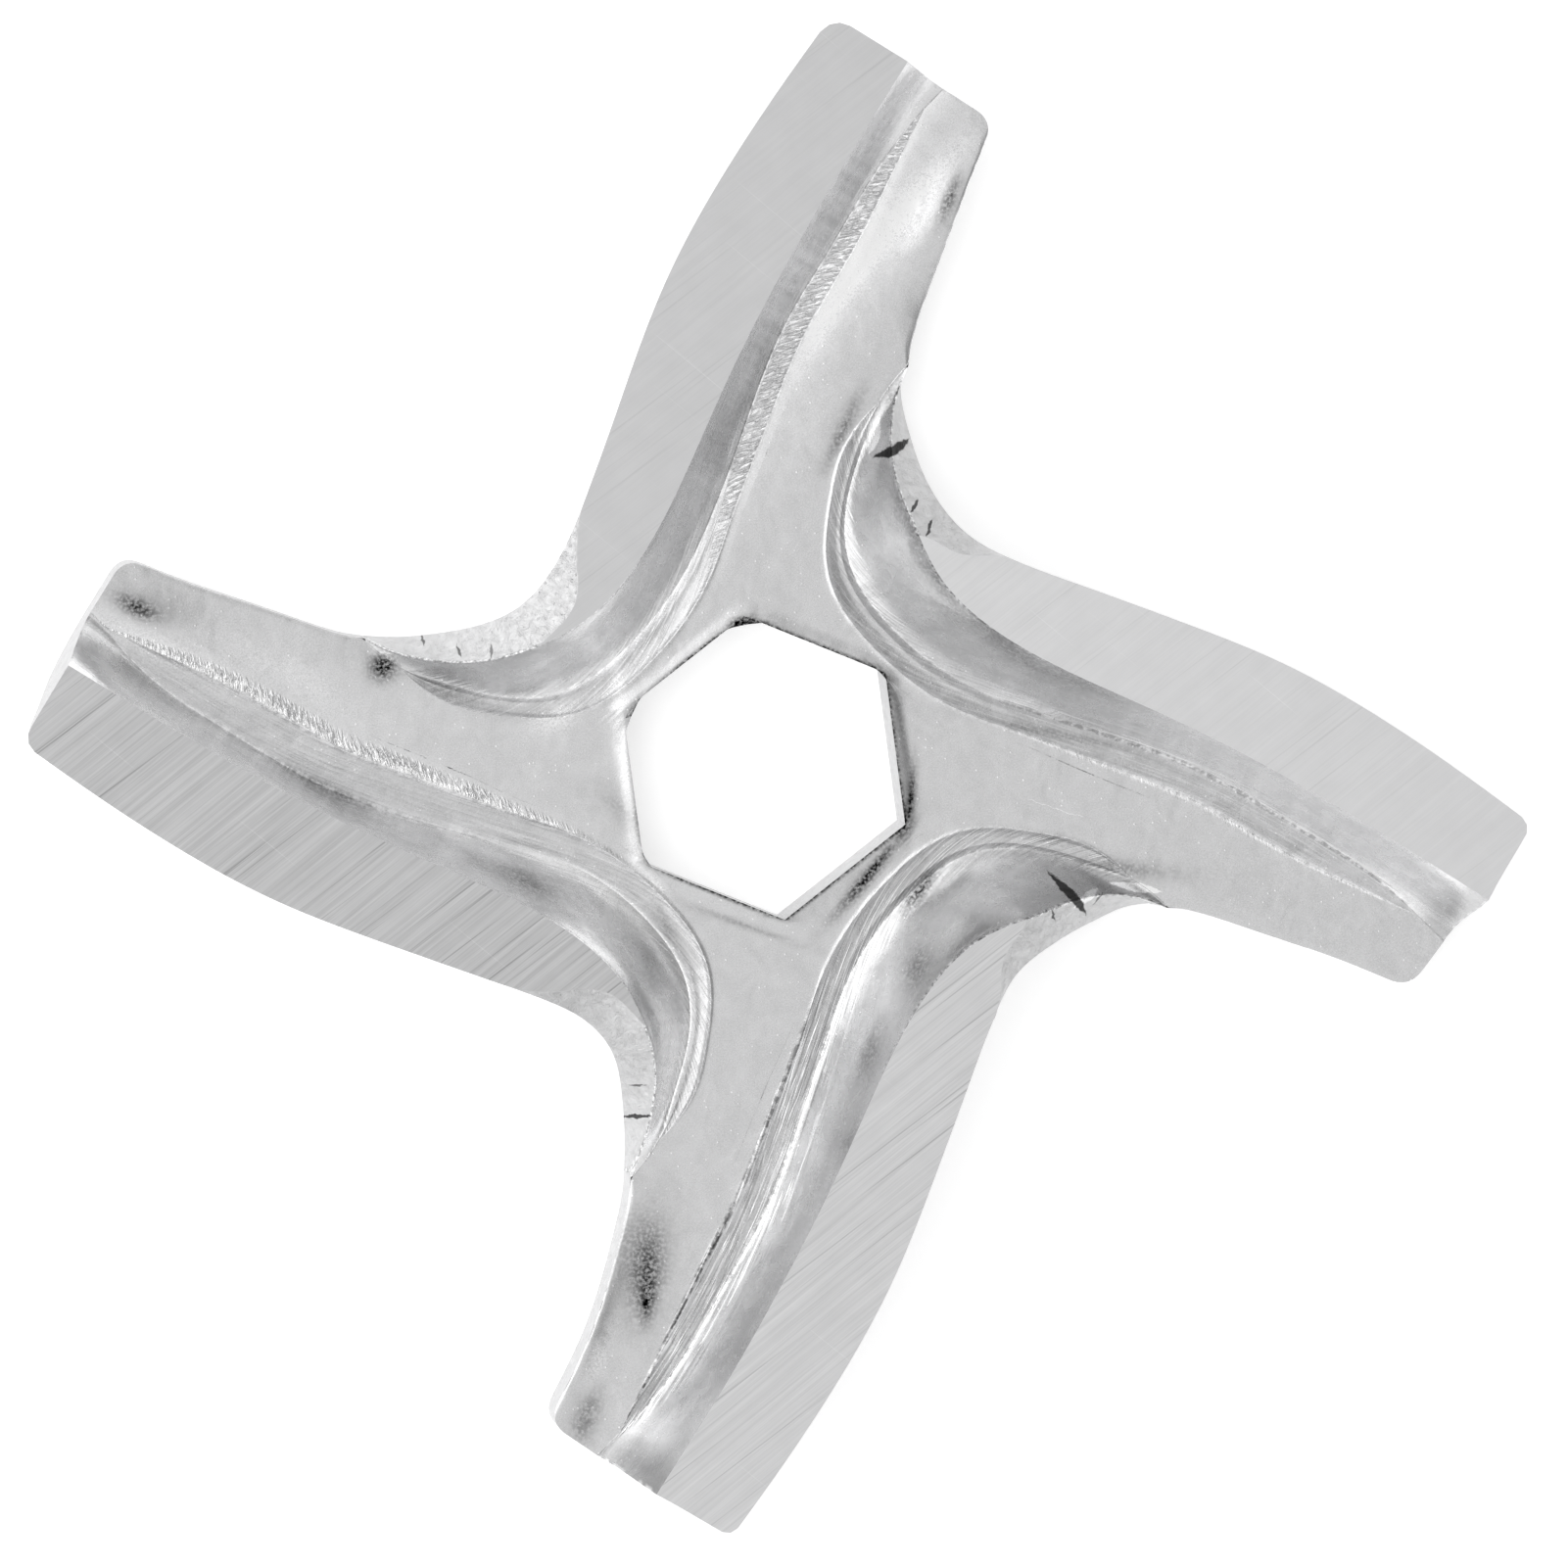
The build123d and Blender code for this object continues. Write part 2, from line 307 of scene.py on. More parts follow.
class KnifeFinish(bpy.types.PropertyGroup):
    steel: colour("Steel", "Colour of the bare steel", (0.72, 0.72, 0.725))
    ground_roughness: fraction("Ground roughness", "Roughness of the ground faces", 0.38)
    pressed_roughness: fraction("Pressed roughness", "Roughness of the pressed skin", 0.22)


class StageSettings(bpy.types.PropertyGroup):
    floor: colour("Floor", "Colour of the floor", (0.85, 0.85, 0.85))
    camera_tilt: angle("Camera tilt", "Camera from straight above", 10.3)
    camera_heading: angle("Camera heading", "Direction towards which the camera stands", 150)
    camera_distance: length("Camera distance", "From the middle of the ground faces", 286 * MM)
    focal_length: FloatProperty(name="Focal length", description="Millimetres", default=210.74)


# ---------------------------------------------------------------- curves


def least_bending(knots, values, at):
    """The values at `at` of the curve of least bending through the rows of `values`
    at `knots`. Between two knots it is a cubic, and slope and curvature carry on
    over each knot; the curvature is nought at both ends."""
    gap = np.diff(knots)
    count = len(knots)
    matrix = np.eye(count)
    inside = np.arange(1, count - 1)
    matrix[inside, inside - 1] = gap[:-1]
    matrix[inside, inside] = 2 * (gap[:-1] + gap[1:])
    matrix[inside, inside + 1] = gap[1:]
    right = np.zeros(values.shape)
    right[1:-1] = 6 * np.diff(np.diff(values, axis=0) / gap[:, None], axis=0)
    bend = np.linalg.solve(matrix, right)
    at = np.asarray(at, float)
    i = np.clip(np.searchsorted(knots, at) - 1, 0, count - 2)
    h = gap[i][..., None]
    b = ((at - knots[i]) / gap[i])[..., None]
    a = 1 - b
    cubic = (a**3 - a) * bend[i] + (b**3 - b) * bend[i + 1]
    return a * values[i] + b * values[i + 1] + cubic * h * h / 6


def bezier(a, b, c, d, q):
    """Cubic Bezier: the four points weighted by (1-q)^3, 3q(1-q)^2, 3q^2(1-q), q^3."""
    p = 1 - q
    return p**3 * a + 3 * q * p * p * b + 3 * q * q * p * c + q**3 * d


def root_of(function, low, high, steps=30):
    """Where a falling function passes nought between the arrays low and high, by
    halving the interval."""
    low, high = np.broadcast_arrays(low, high)
    low, high = low.astype(float), high.astype(float)
    for _ in range(steps):
        middle = (low + high) / 2
        above = function(middle) > 0
        low = np.where(above, middle, low)
        high = np.where(above, high, middle)
    return (low + high) / 2


def lengths(line, least=0.0):
    """The length of a polyline up to each of its points, each part longer by `least`."""
    return np.append(0, np.cumsum(np.linalg.norm(np.diff(line, axis=0), axis=1) + least))


def along(line, shares):
    """Points at the given shares of a polyline's length."""
    run = lengths(line)
    at = np.asarray(shares) * run[-1]
    return np.stack([np.interp(at, run, line[:, k]) for k in range(line.shape[1])], -1)


def smooth(low, high, x):
    """0 below low, 1 above high, and 3q^2 - 2q^3 between."""
    q = np.clip((x - low) / (high - low), 0, 1)
    return q * q * (3 - 2 * q)


def turn(points, arm):
    """Points of the +Y arm carried round to another arm, clockwise."""
    a = -QUARTER * arm
    out = np.array(points, float)
    out[..., 0] = points[..., 0] * cos(a) - points[..., 1] * sin(a)
    out[..., 1] = points[..., 0] * sin(a) + points[..., 1] * cos(a)
    return out


def lattice(ix, iy, seed):
    """A number between 0 and 1 for each whole-numbered place."""
    n = np.sin(ix * 127.1 + iy * 311.7 + seed * 74.7) * 43758.5453
    return n - np.floor(n)


def mottle(x, y, size, seed):
    """Smooth random field between -1 and 1: lattice values at `size` apart, blended
    by 3q^2 - 2q^3."""
    u, v = x / size, y / size
    i, j = np.floor(u), np.floor(v)
    p, q = smooth(0, 1, u - i), smooth(0, 1, v - j)
    low = lattice(i, j, seed) * (1 - p) + lattice(i + 1, j, seed) * p
    high = lattice(i, j + 1, seed) * (1 - p) + lattice(i + 1, j + 1, seed) * p
    return 2 * (low * (1 - q) + high * q) - 1


# ---------------------------------------------------------------- the knife's mesh


# Values painted on the mesh, with what they are where nothing else is said.
PAINTS = {
    "scratches": 1.0,  # depth of the grinding scratches
    # painted reflection: the ground face's brightness, set per arm
    "tone": 1.0,
    "give": 0.0,  # how far the surface swells
    "tear": 0.0,  # how far it is torn
    "brink": 9.0,  # distance past the wing's inner line, millimetres
    "burr": 0.0,  # how strong the burrs on that line are
    "strip": 9.0,  # share of the way across the step
    "foot_line": 0.0,
    "ridge_line": 0.0,
    "hatch": 0.0,
    "hatch_at": 1.0,
    "hatch_end": 1.3,
    "streaks": 0.0,
    "flank": 1.0,  # painted light and shade of the wing's inner side and its step
}


class Knife:
    """The pressed knife as one closed mesh, in metres. A wing is a surface of two
    parameters: t runs along it through the sections, and a column runs across it."""

    def __init__(self, sizes):
        self.s = sizes
        rows = np.array(SECTIONS)
        rows[:, :2] *= sizes.tip_radius
        rows[:, 2] = np.radians(rows[:, 2])
        rows[:, 3:5] *= sizes.land
        rows[:, 5] *= sizes.step_width
        rows[:, 7:9] *= sizes.face_height
        rows[:, 9] = np.radians(rows[:, 9])
        rows[:, 12] *= sizes.sheet
        rows[-1, 8] = sizes.sheet
        self.rows = rows
        self.knots = lengths(rows[:, :2])
        self.knots /= self.knots[-1]
        self.points, self.quads, self.kinds, self.uvs = [], [], [], []
        self.paint = {key: [] for key in PAINTS}
        self.count = 0

    # -- one wing

    def along_strip(self, t, arm):
        """The strip's values at t: the arm's own, and from the hub on the crotch's."""
        hub = self.knots[HUB_SECTION]
        crotch = smooth(0.72 * hub, hub, t)[..., None]
        values = np.array(STRIPS[arm]) * (1 - crotch) + np.array(STRIPS[ARMS]) * crotch
        return dict(zip(STRIP_KEYS, np.moveaxis(values, -1, 0))), crotch[..., 0]

    def section(self, t, stretch, q, arm):
        """Distance into the sheet and height of a wing's section at t. `stretch` is
        the number of the stretch of the section and q the place along it:
        0 the back, from the underside out to the edge, a Bezier;
        1 the sheared edge, straight;
        2 the ground face, level;
        3 the flank, a Bezier down to the foot;
        4 the step, foot + drop (linear part + steep shoulder) up to its ridge at 1,
        and a margin beyond, with beads, bell-shaped, at the ridge and near the foot."""
        s = self.s
        x, y, way, inner, foot, step, climb, low, high, slope, flare, shoulder, curl = np.moveaxis(
            least_bending(self.knots, self.rows, t), -1, 0)
        strip, crotch = self.along_strip(t, arm)
        inner, foot = np.maximum(inner, 0), np.maximum(foot, inner)
        step = np.maximum(step, 0.05 * MM * np.minimum(1, foot / (0.1 * MM)))
        foot, step = np.maximum(foot + step * (1 - strip["width"]), inner), step * strip["width"]
        climb, curl = smooth(0, 1, climb), np.maximum(curl, 0) * CURLS[arm]
        face = s.face_height
        low = np.clip(low, 0, face)
        share = np.clip((face - low) / np.maximum(high - low, 1e-9), 0, 1)
        share = np.where(high > face, share, 1) ** BAND_CURVES[arm]
        edge_d = share * inner
        inner_z = np.minimum(high, face)
        low_z = np.minimum(low, inner_z - s.blunting)
        edge_z = np.where(share < 1, face, inner_z)
        plateau = s.sheet + curl
        floor = plateau - s.step_drop * (1 - climb)
        bend = foot + step / 3
        run = foot - inner
        reach = flare * low_z

        def flank(p):
            height = inner_z - floor
            z = bezier(floor, floor + 0.10 * height, inner_z - 0.25 * height, inner_z, p)
            d = bezier(foot, foot - 0.45 * run, inner + shoulder * run, inner, p)
            return d, z

        def back(p):
            z = bezier(low_z, low_z - reach * np.sin(slope), curl, curl, p)
            d = bezier(0 * t, reach * np.cos(slope), 0.3 * bend, bend, p)
            return d, z

        back_d, back_z = back(1 - q)
        flank_d, flank_z = flank(1 - q)
        margin = MARGIN * (1 - 0.85 * crotch * (1 - smooth(0.5, 0.8, t)))
        p = np.where(q > 1, 1 + (q - 1) * margin / MARGIN, q)
        steep = strip["shoulder"]
        rise = (1 - steep) * np.minimum(p, 1) + steep * smooth(0.80, 0.98, p)
        size = s.bead * np.minimum(1, step / (0.4 * MM)) * smooth(0, 0.08, 1 - t)
        beads = strip["ridge"] * np.exp(-(((p - 1) / 0.07) ** 2))
        beads = beads + crotch * np.exp(-(((p - 0.28) / 0.09) ** 2))
        step_z = floor + (plateau - floor) * rise + size * beads * smooth(0, 0.2, 1 + margin - p)
        land_d, land_z = edge_d + q * (inner - edge_d), edge_z + q * (inner_z - edge_z)
        shear_d, shear_z = q * edge_d, low_z + q * (edge_z - low_z)
        d = np.choose(stretch, [back_d, shear_d, land_d, flank_d, foot + p * step])
        z = np.choose(stretch, [back_z, shear_z, land_z, flank_z, step_z])
        place = {"inner": inner, "foot": foot, "step": step, "margin": margin}
        return x, y, way, d, z, place

    def wing(self, t, stretch, q, arm):
        """Place of a wing's point: edge + distance along the way in, at its height."""
        x, y, way, d, z, place = self.section(t, stretch, q, arm)
        return np.stack([x + d * np.cos(way), y + d * np.sin(way), z], -1), d, place

    def beyond(self, points, d, arm):
        """How far points lie past the arm's end, whose corner at the cutting edge is
        rounded: the distance from a quarter circle where both sides are near."""
        reach = END_REACH[arm] * self.s.tip_radius
        reach = reach + END_SLANTS[arm] * MM * smooth(0.55 * self.s.land, 1.6 * self.s.land, d)
        past = points[..., 0] * sin(END_ANGLE) + points[..., 1] * cos(END_ANGLE) - reach
        r = self.s.tip_corner * TIP_CORNERS[arm]
        a, b = np.maximum(r - d, 0), past + r
        return np.where(b > 0, np.hypot(a, np.maximum(b, 0)) - r, b - r)

    def wing_grid(self, arm):
        """Grid of one wing, rows from the arm's end to where the wing has run out, with
        the distances into the sheet, the columns' stretches and what is painted."""
        counts = list(STRETCHES.values())
        stretch = np.append(np.repeat(np.arange(len(counts)), counts), len(counts) - 1)
        q = np.concatenate([*(np.arange(n) / n for n in counts[:-1]), STEP_PLACES])
        q = np.where(stretch == 2, q**LAND_CROWDING, q)

        def past(t):
            points, d, _ = self.wing(t, stretch, q, arm)
            return self.beyond(points, d, arm)

        start = root_of(past, 0 * q, 0 * q + TIP_SPAN)
        hub = self.knots[HUB_SECTION]
        upper = start + (hub - start) * np.linspace(0, 1, ARM_ROWS + 1)[:, None]
        lower = hub + (1 - hub) * np.linspace(0, 1, CROTCH_ROWS + 1)[1:, None] + 0 * q
        t = np.concatenate([upper, lower])
        grid, d, place = self.wing(t, *(np.broadcast_to(v, t.shape) for v in (stretch, q)), arm)
        return grid, d, stretch, self.drawn_on(t, grid, d, place, stretch, arm)

    def drawn_on(self, t, grid, d, place, stretch, arm):
        """What is painted on a wing: the strip's lines, the distances that the finishes
        need, and the painted light and shade, which goes over from the inner side's to the step's."""
        strip, crotch = self.along_strip(t, arm)
        drawn = {key: strip[key] for key in DRAWN_KEYS}
        drawn["burr"] = 0.1 + 0.9 * crotch
        inward = d - place["inner"]
        share = (d - place["foot"]) / place["step"]
        # painted light of the inner side, painted darker beside the ground face and at the arm's end
        tone = np.interp(t, FLANK_PLACES, FLANK_PAINTED_LIGHT[arm])
        tone = tone * (1 - FLANK_PAINTED_SHADES[arm] * (1 - smooth(0.1 * MM, 0.8 * MM, inward)))
        end = 1 - smooth(0.4 * MM, 1.6 * MM, -self.beyond(grid, d, arm))
        tone = tone * (1 + (END_PAINTED_SHADES[arm] - 1) * end)
        on_step = stretch == 4
        # the step's painted shade, and a painted highlight just past its ridge
        tone = tone + (strip["step_painted_shade"] - tone) * smooth(0, 0.12, share) * on_step
        away = np.maximum(share - 1, 0) * place["step"] / MM
        past_ridge = 1 + strip["ridge_painted_glow"] * np.exp(-away / PAINTED_GLOW_REACH)
        drawn["flank"] = tone + (past_ridge - tone) * smooth(0.93, 1.04, share) * on_step
        on_face = (stretch > 0) & (stretch < 4)
        drawn["brink"] = np.clip(np.where(on_face, inward / MM, 9), -9, 9)
        drawn["strip"] = np.where(stretch > 2, np.clip(share, -3, 3), -3)
        return drawn

    # -- collecting

    def add(self, grid, kind, arm, uv=None, **drawn):
        """Puts a grid of points in the mesh as quads."""
        rows, columns = grid.shape[:2]
        index = np.arange(rows * columns).reshape(rows, columns) + self.count
        corners = [index[:-1, :-1], index[1:, :-1], index[1:, 1:], index[:-1, 1:]]
        quads = np.stack(corners, -1).reshape(-1, 4)
        self.points.append(grid.reshape(-1, 3))
        self.uvs.append(np.zeros((rows * columns, 2)) if uv is None else uv.reshape(-1, 2))
        self.painted(rows * columns, arm, **drawn)
        self.quads.append(quads)
        self.kinds.append(np.broadcast_to(kind, (rows - 1, columns - 1)).reshape(-1))
        self.count += rows * columns

    def painted(self, count, arm, **drawn):
        """Notes the points' painted values; what isn't given takes its usual value."""
        usual = dict(PAINTS, scratches=SCRATCHING[arm], tone=ARM_PAINTED_REFLECTIONS[arm])
        for key, plain in usual.items():
            value = np.asarray(drawn.get(key, plain), float).reshape(-1)
            self.paint[key].append(np.broadcast_to(value, count))

    def zip(self, one, two, kind, arm):
        """Triangles between two lines of points, by their shares of the way across."""
        n, m = len(one), len(two)

        def share(line):
            run = lengths(line[:, :2], 1e-9)
            return run / run[-1]

        order = np.argsort(np.concatenate([share(one)[1:], share(two)[1:]]), kind="stable")
        first = order < n - 1
        i = np.concatenate([[0], np.cumsum(first)[:-1]])
        j = np.concatenate([[0], np.cumsum(~first)[:-1]])
        a, b = self.count + i, self.count + n + j
        c = np.where(first, a + 1, b + 1)
        self.points += [one, two]
        self.uvs += [np.zeros((n + m, 2))]
        self.painted(n + m, arm)
        self.quads.append(np.stack([a, b, c, c], -1))
        self.kinds.append(np.full(len(a), kind))
        self.count += n + m


def coons(left, right, top, bottom, shares):
    """Patch between four border lines: the blend of left and right plus the blend of
    top and bottom, less the blend of the four corners; `shares` of the way across."""
    v = np.linspace(0, 1, len(left))[:, None, None]
    u = shares[None, :, None]
    sides = (1 - u) * left[:, None] + u * right[:, None]
    ends = (1 - v) * top[None] + v * bottom[None]
    first, last = (1 - u) * left[0] + u * right[0], (1 - u) * left[-1] + u * right[-1]
    return sides + ends - ((1 - v) * first + v * last)


GROUND_FACE, PRESSED, SHEAR, UNDERSIDE, WALL = range(5)
WING_KINDS = np.array([UNDERSIDE, SHEAR, GROUND_FACE, PRESSED, PRESSED])


def fine_back_edge(sizes, first, count):
    """Points of the curve of least bending through BACK_EDGE, from its place `first`."""
    line = np.array(BACK_EDGE) * sizes.tip_radius
    last = len(line) - 1
    return least_bending(np.arange(last + 1.0), line, np.linspace(first, last, count))


def back_edge(sizes, arm):
    """The arm's back edge from the arm's end to where the next wing has run out; where
    the curve stops short of the end it goes straight on."""
    line = fine_back_edge(sizes, 0, BACK_POINTS)
    reach = END_REACH[arm] * sizes.tip_radius
    past = line @ np.array([sin(END_ANGLE), cos(END_ANGLE)]) - reach
    kept = line[past < 0]
    if past[-1] < 0:
        way = (line[-1] - line[-2]) / np.linalg.norm(line[-1] - line[-2])
        kept = np.concatenate([kept, [line[-1] - way * past[-1]]])
    return kept[::-1]


def flat_part(sizes, arm, own, other, height):
    """One face of the flat cross from the arm's end to the hub: a patch between the
    wing's own border line, the arm's end, its back edge with the next wing's border
    line, and an arc round the axis. The heel between end and back is a quadratic
    Bezier. Gives the patch, the end line and the back line."""
    back = back_edge(sizes, arm)
    curl = smooth(0.6 * sizes.tip_radius, 0.9 * sizes.tip_radius, back[:, 1])
    back = np.column_stack([back, height + CURLS[arm] * sizes.heel_rise * curl])
    corner, r = back[0], sizes.heel_corner
    run = corner - own[0]
    on_end = corner - run / np.linalg.norm(run) * r
    gap = np.linalg.norm(back - corner, axis=1)
    on_back = back[np.argmin(np.abs(gap - r))]
    q = np.linspace(0, 1, 2 * HEEL_STEPS + 1)[:, None]
    heel = (1 - q) ** 2 * on_end + 2 * q * (1 - q) * corner + q * q * on_back
    end = along(np.concatenate([own[:1], heel[: HEEL_STEPS + 1]]), PLATEAU_SHARES)
    tail = other[::-1][: CROTCH_ROWS + 1]
    back = np.concatenate([heel[HEEL_STEPS:], back[gap > r]])
    back[-1] = tail[0]
    back = along(back, np.linspace(0, 1, BACK_ROWS + 1))
    hub_x, hub_y = own[ARM_ROWS, :2]
    way = np.arctan2(hub_y, hub_x) - QUARTER * PLATEAU_SHARES
    reach = np.hypot(hub_x, hub_y)
    arc = [reach * np.cos(way), reach * np.sin(way), np.full_like(way, height)]
    sides = own[: ARM_ROWS + 1], np.concatenate([back[:-1], tail])
    return coons(*sides, end, np.column_stack(arc), PLATEAU_SHARES), end, back


def hub_ring(sizes, arm, outer):
    """A quarter of the hub's face, from the hexagon out to the line `outer`. A side of
    the hexagon is at half its width over the cosine of the angle from the side's
    middle, and the points nearest to its corners are moved onto them."""
    way = np.unwrap(np.arctan2(outer[:, 1], outer[:, 0]))
    corners = sizes.hexagon_turn + pi / 6 + np.arange(-12, 13) * pi / 3 + QUARTER * arm
    catch = CORNER_CATCH * abs(way[1] - way[0])
    onto = way.copy()
    for corner in corners:
        k = np.argmin(np.abs(way - corner))
        if abs(way[k] - corner) < catch and 0 < k < len(way) - 1:
            onto[k] = corner
    off = (onto - (sizes.hexagon_turn + QUARTER * arm) + pi / 6) % (pi / 3) - pi / 6
    reach = sizes.hexagon / 2 / np.cos(off)
    x, y = turn(np.array(HEXAGON_SHIFT) * MM, -arm)
    inner = np.column_stack([reach * np.cos(onto) + x, reach * np.sin(onto) + y, outer[:, 2]])
    w = np.linspace(0, 1, HUB_RINGS + 1)[:, None, None] ** RING_CROWDING
    return inner * (1 - w) + outer * w


def wall(low, high):
    """Straight wall between two lines with as many points."""
    q = np.linspace(0, 1, STRETCHES["edge"] + 1)[None, :, None]
    return low[:, None] * (1 - q) + high[:, None] * q


def bell(stretch, power):
    """sin(pi q) to a power over the columns of one stretch, nought elsewhere."""
    q = (np.arange(COLUMNS + 1) - FIRST_COLUMN[stretch]) / STRETCHES[stretch]
    return np.where((q > 0) & (q < 1), np.sin(pi * np.clip(q, 0, 1)) ** power, 0)


def face_kinds(grid, stretch, sizes):
    """The kind of each face of a wing; a ground face that dips is pressed skin."""
    kinds = np.broadcast_to(WING_KINDS[stretch[:-1]], (len(grid) - 1, COLUMNS)).copy()
    level = grid[:-1, :-1, 2] > sizes.face_height - LEVEL * MM
    kinds[(kinds == GROUND_FACE) & ~level] = PRESSED
    return kinds


def carried_on(over, uv, drawn, arm, sizes):
    """What is painted at a wing's last column, carried on over the flat part: the
    strip's share and the flow lines' place grow with the distance, the painted light fades."""
    away = np.linalg.norm(over - over[:, :1], axis=-1)
    rows = len(over)
    side = {key: drawn[key][:rows, -1:] + 0 * away for key in DRAWN_KEYS}
    wide = sizes.step_width * STRIPS[arm][-1]
    side["strip"] = drawn["strip"][:rows, -1:] + away / wide
    fade = np.exp(-away / MM / PAINTED_GLOW_REACH)
    side["flank"] = 1 + (drawn["flank"][:rows, -1:] - 1) * fade
    return np.stack([uv[:rows, -1:, 0] + 0 * away, uv[:rows, -1:, 1] + away / MM], -1), side


def build_knife(sizes):
    """The four wings, the flat cross between them, its underside and its walls."""
    knife = Knife(sizes)
    wings = [knife.wing_grid(arm) for arm in range(ARMS)]
    edge, land = FIRST_COLUMN["edge"], FIRST_COLUMN["land"]
    for arm, (grid, depth, stretch, drawn) in enumerate(wings):
        other = turn(wings[(arm + 1) % ARMS][0], 1)
        over, over_end, over_back = flat_part(sizes, arm, grid[:, -1], other[:, -1], sizes.sheet)
        under, under_end, under_back = flat_part(sizes, arm, grid[:, 0], other[:, 0], 0.0)
        ring_over, ring_under = (hub_ring(sizes, arm, patch[-1]) for patch in (over, under))
        back_wall = wall(under_back, over_back)

        run = lengths(grid[:, FLOW_COLUMN])[:, None] / MM + FLOW_APART * arm
        uv = np.stack(np.broadcast_arrays(run, depth / MM), -1)
        give = np.broadcast_to(bell("flank", 0.7), depth.shape)
        torn = np.linalg.norm(grid[:, edge] - grid[:, land], axis=-1)
        tear = bell("edge", 0.5) * smooth(0, 0.2 * MM, torn)[:, None]
        kinds = face_kinds(grid, stretch, sizes)
        knife.add(turn(grid, arm), kinds, arm, uv, give=give, tear=tear, **drawn)
        uv_over, side = carried_on(over, uv, drawn, arm, sizes)
        knife.add(turn(over, arm), PRESSED, arm, uv_over, **side)
        knife.add(turn(under, arm), UNDERSIDE, arm)
        knife.add(turn(ring_over, arm), PRESSED, arm)
        knife.add(turn(ring_under, arm), UNDERSIDE, arm)
        knife.add(turn(wall(ring_under[0], ring_over[0]), arm), WALL, arm)
        knife.add(turn(back_wall, arm), WALL, arm)

        # the arm's end, closed between its upper and lower outlines
        upper = np.concatenate([grid[0, edge:-1], over_end, back_wall[0, ::-1][1:-1]])
        lower = np.concatenate([grid[0, : edge + 1][::-1], under_end[1:]])
        knife.zip(turn(upper, arm), turn(lower, arm), WALL, arm)
    return knife


def hexagon_distance(x, y, sizes):
    """How far outside the hexagon hole a place is: the largest of its distances past
    the six sides."""
    x, y = x - HEXAGON_SHIFT[0] * MM, y - HEXAGON_SHIFT[1] * MM
    ways = sizes.hexagon_turn + np.arange(6) * pi / 3
    return np.max([x * cos(way) + y * sin(way) for way in ways], axis=0) - sizes.hexagon / 2


def back_distance(x, y, sizes):
    """How far a place is from the backs of the arms: the least distance to the points
    of the four back edges, drawn finely. Near the hub it isn't worked out, but large."""
    fine = fine_back_edge(sizes, ROLL_FIRST, ROLL_POINTS)
    best = np.full(len(x), 9.0)
    near = np.hypot(x, y) > 0.5 * sizes.tip_radius
    for arm in range(ARMS):
        edge = turn(fine, arm)
        gap = np.hypot(x[near, None] - edge[None, :, 0], y[near, None] - edge[None, :, 1])
        best[near] = np.minimum(best[near], gap.min(axis=1))
    return best


def hills(x, y, rows, unit=1):
    """Sum of bell-shaped hills at places in millimetres: each row's height times
    exp(-u^2 - v^2), with u along it and v across it in parts of its half sizes."""
    total = 0 * x
    for middle_x, middle_y, way, long, wide, height in rows:
        dx, dy = x - middle_x, y - middle_y
        u = dx * cos(radians(way)) + dy * sin(radians(way))
        v = dy * cos(radians(way)) - dx * sin(radians(way))
        total += height * unit * np.exp(-((u / long) ** 2) - (v / wide) ** 2)
    return total


def uneven(points, sizes):
    """The points moved by what the press left: the swells, hills of the whole sheet
    that die away towards the ground faces; the lip round the hexagon; the rolled edge
    at the backs of the arms; and the strays of the outline."""
    x, y, z = points.T
    below = 1 - smooth(0.75 * sizes.face_height, 0.97 * sizes.face_height, z)
    upper = smooth(0.5 * sizes.sheet, 0.8 * sizes.sheet, z)
    rise = hills(x / MM, y / MM, SWELLS, MM)
    rim = sizes.rim_rise * (1 - smooth(0, RIM_WIDTH * MM, hexagon_distance(x, y, sizes)))
    near = 1 - np.clip(back_distance(x, y, sizes) / (ROLL_WIDTH * MM), 0, 1)
    roll = ROLL_WIDTH * MM * ROLL_DROP * near**2 * upper
    up, down = np.maximum(rise, 0) * below, np.minimum(rise, 0) * below * upper
    moved = np.stack([x, y, -roll + z + up + down + rim * upper], -1)
    for middle_x, middle_y, reach, dx, dy in STRAYS:
        near = np.exp(-((x / MM - middle_x) ** 2 + (y / MM - middle_y) ** 2) / reach**2)
        moved[:, 0] += near * dx * MM
        moved[:, 1] += near * dy * MM
    return moved


def painted_reflections_and_rim_shade(points, sizes):
    """How much darker or brighter each point's skin is painted: the painted reflections,
    and the painted shade line round the hexagon's edge, fainter on its -X side, towards the light."""
    x, y, z = points.T / MM
    outside = hexagon_distance(points[:, 0], points[:, 1], sizes) / MM
    faint, full, least = RIM_SHADE_FADE
    strength = least + (1 - least) * smooth(faint, full, x)
    # painted shade line round the hexagon's edge, fainter on the lit -X side
    line = (1 - smooth(0.0, RIM_SHADE_WIDTH, outside)) * strength
    return (hills(x, y, PAINTED_REFLECTIONS) + RIM_SHADE_TONE * line) * smooth(*PAINTED_LIGHT_HEIGHTS, z)


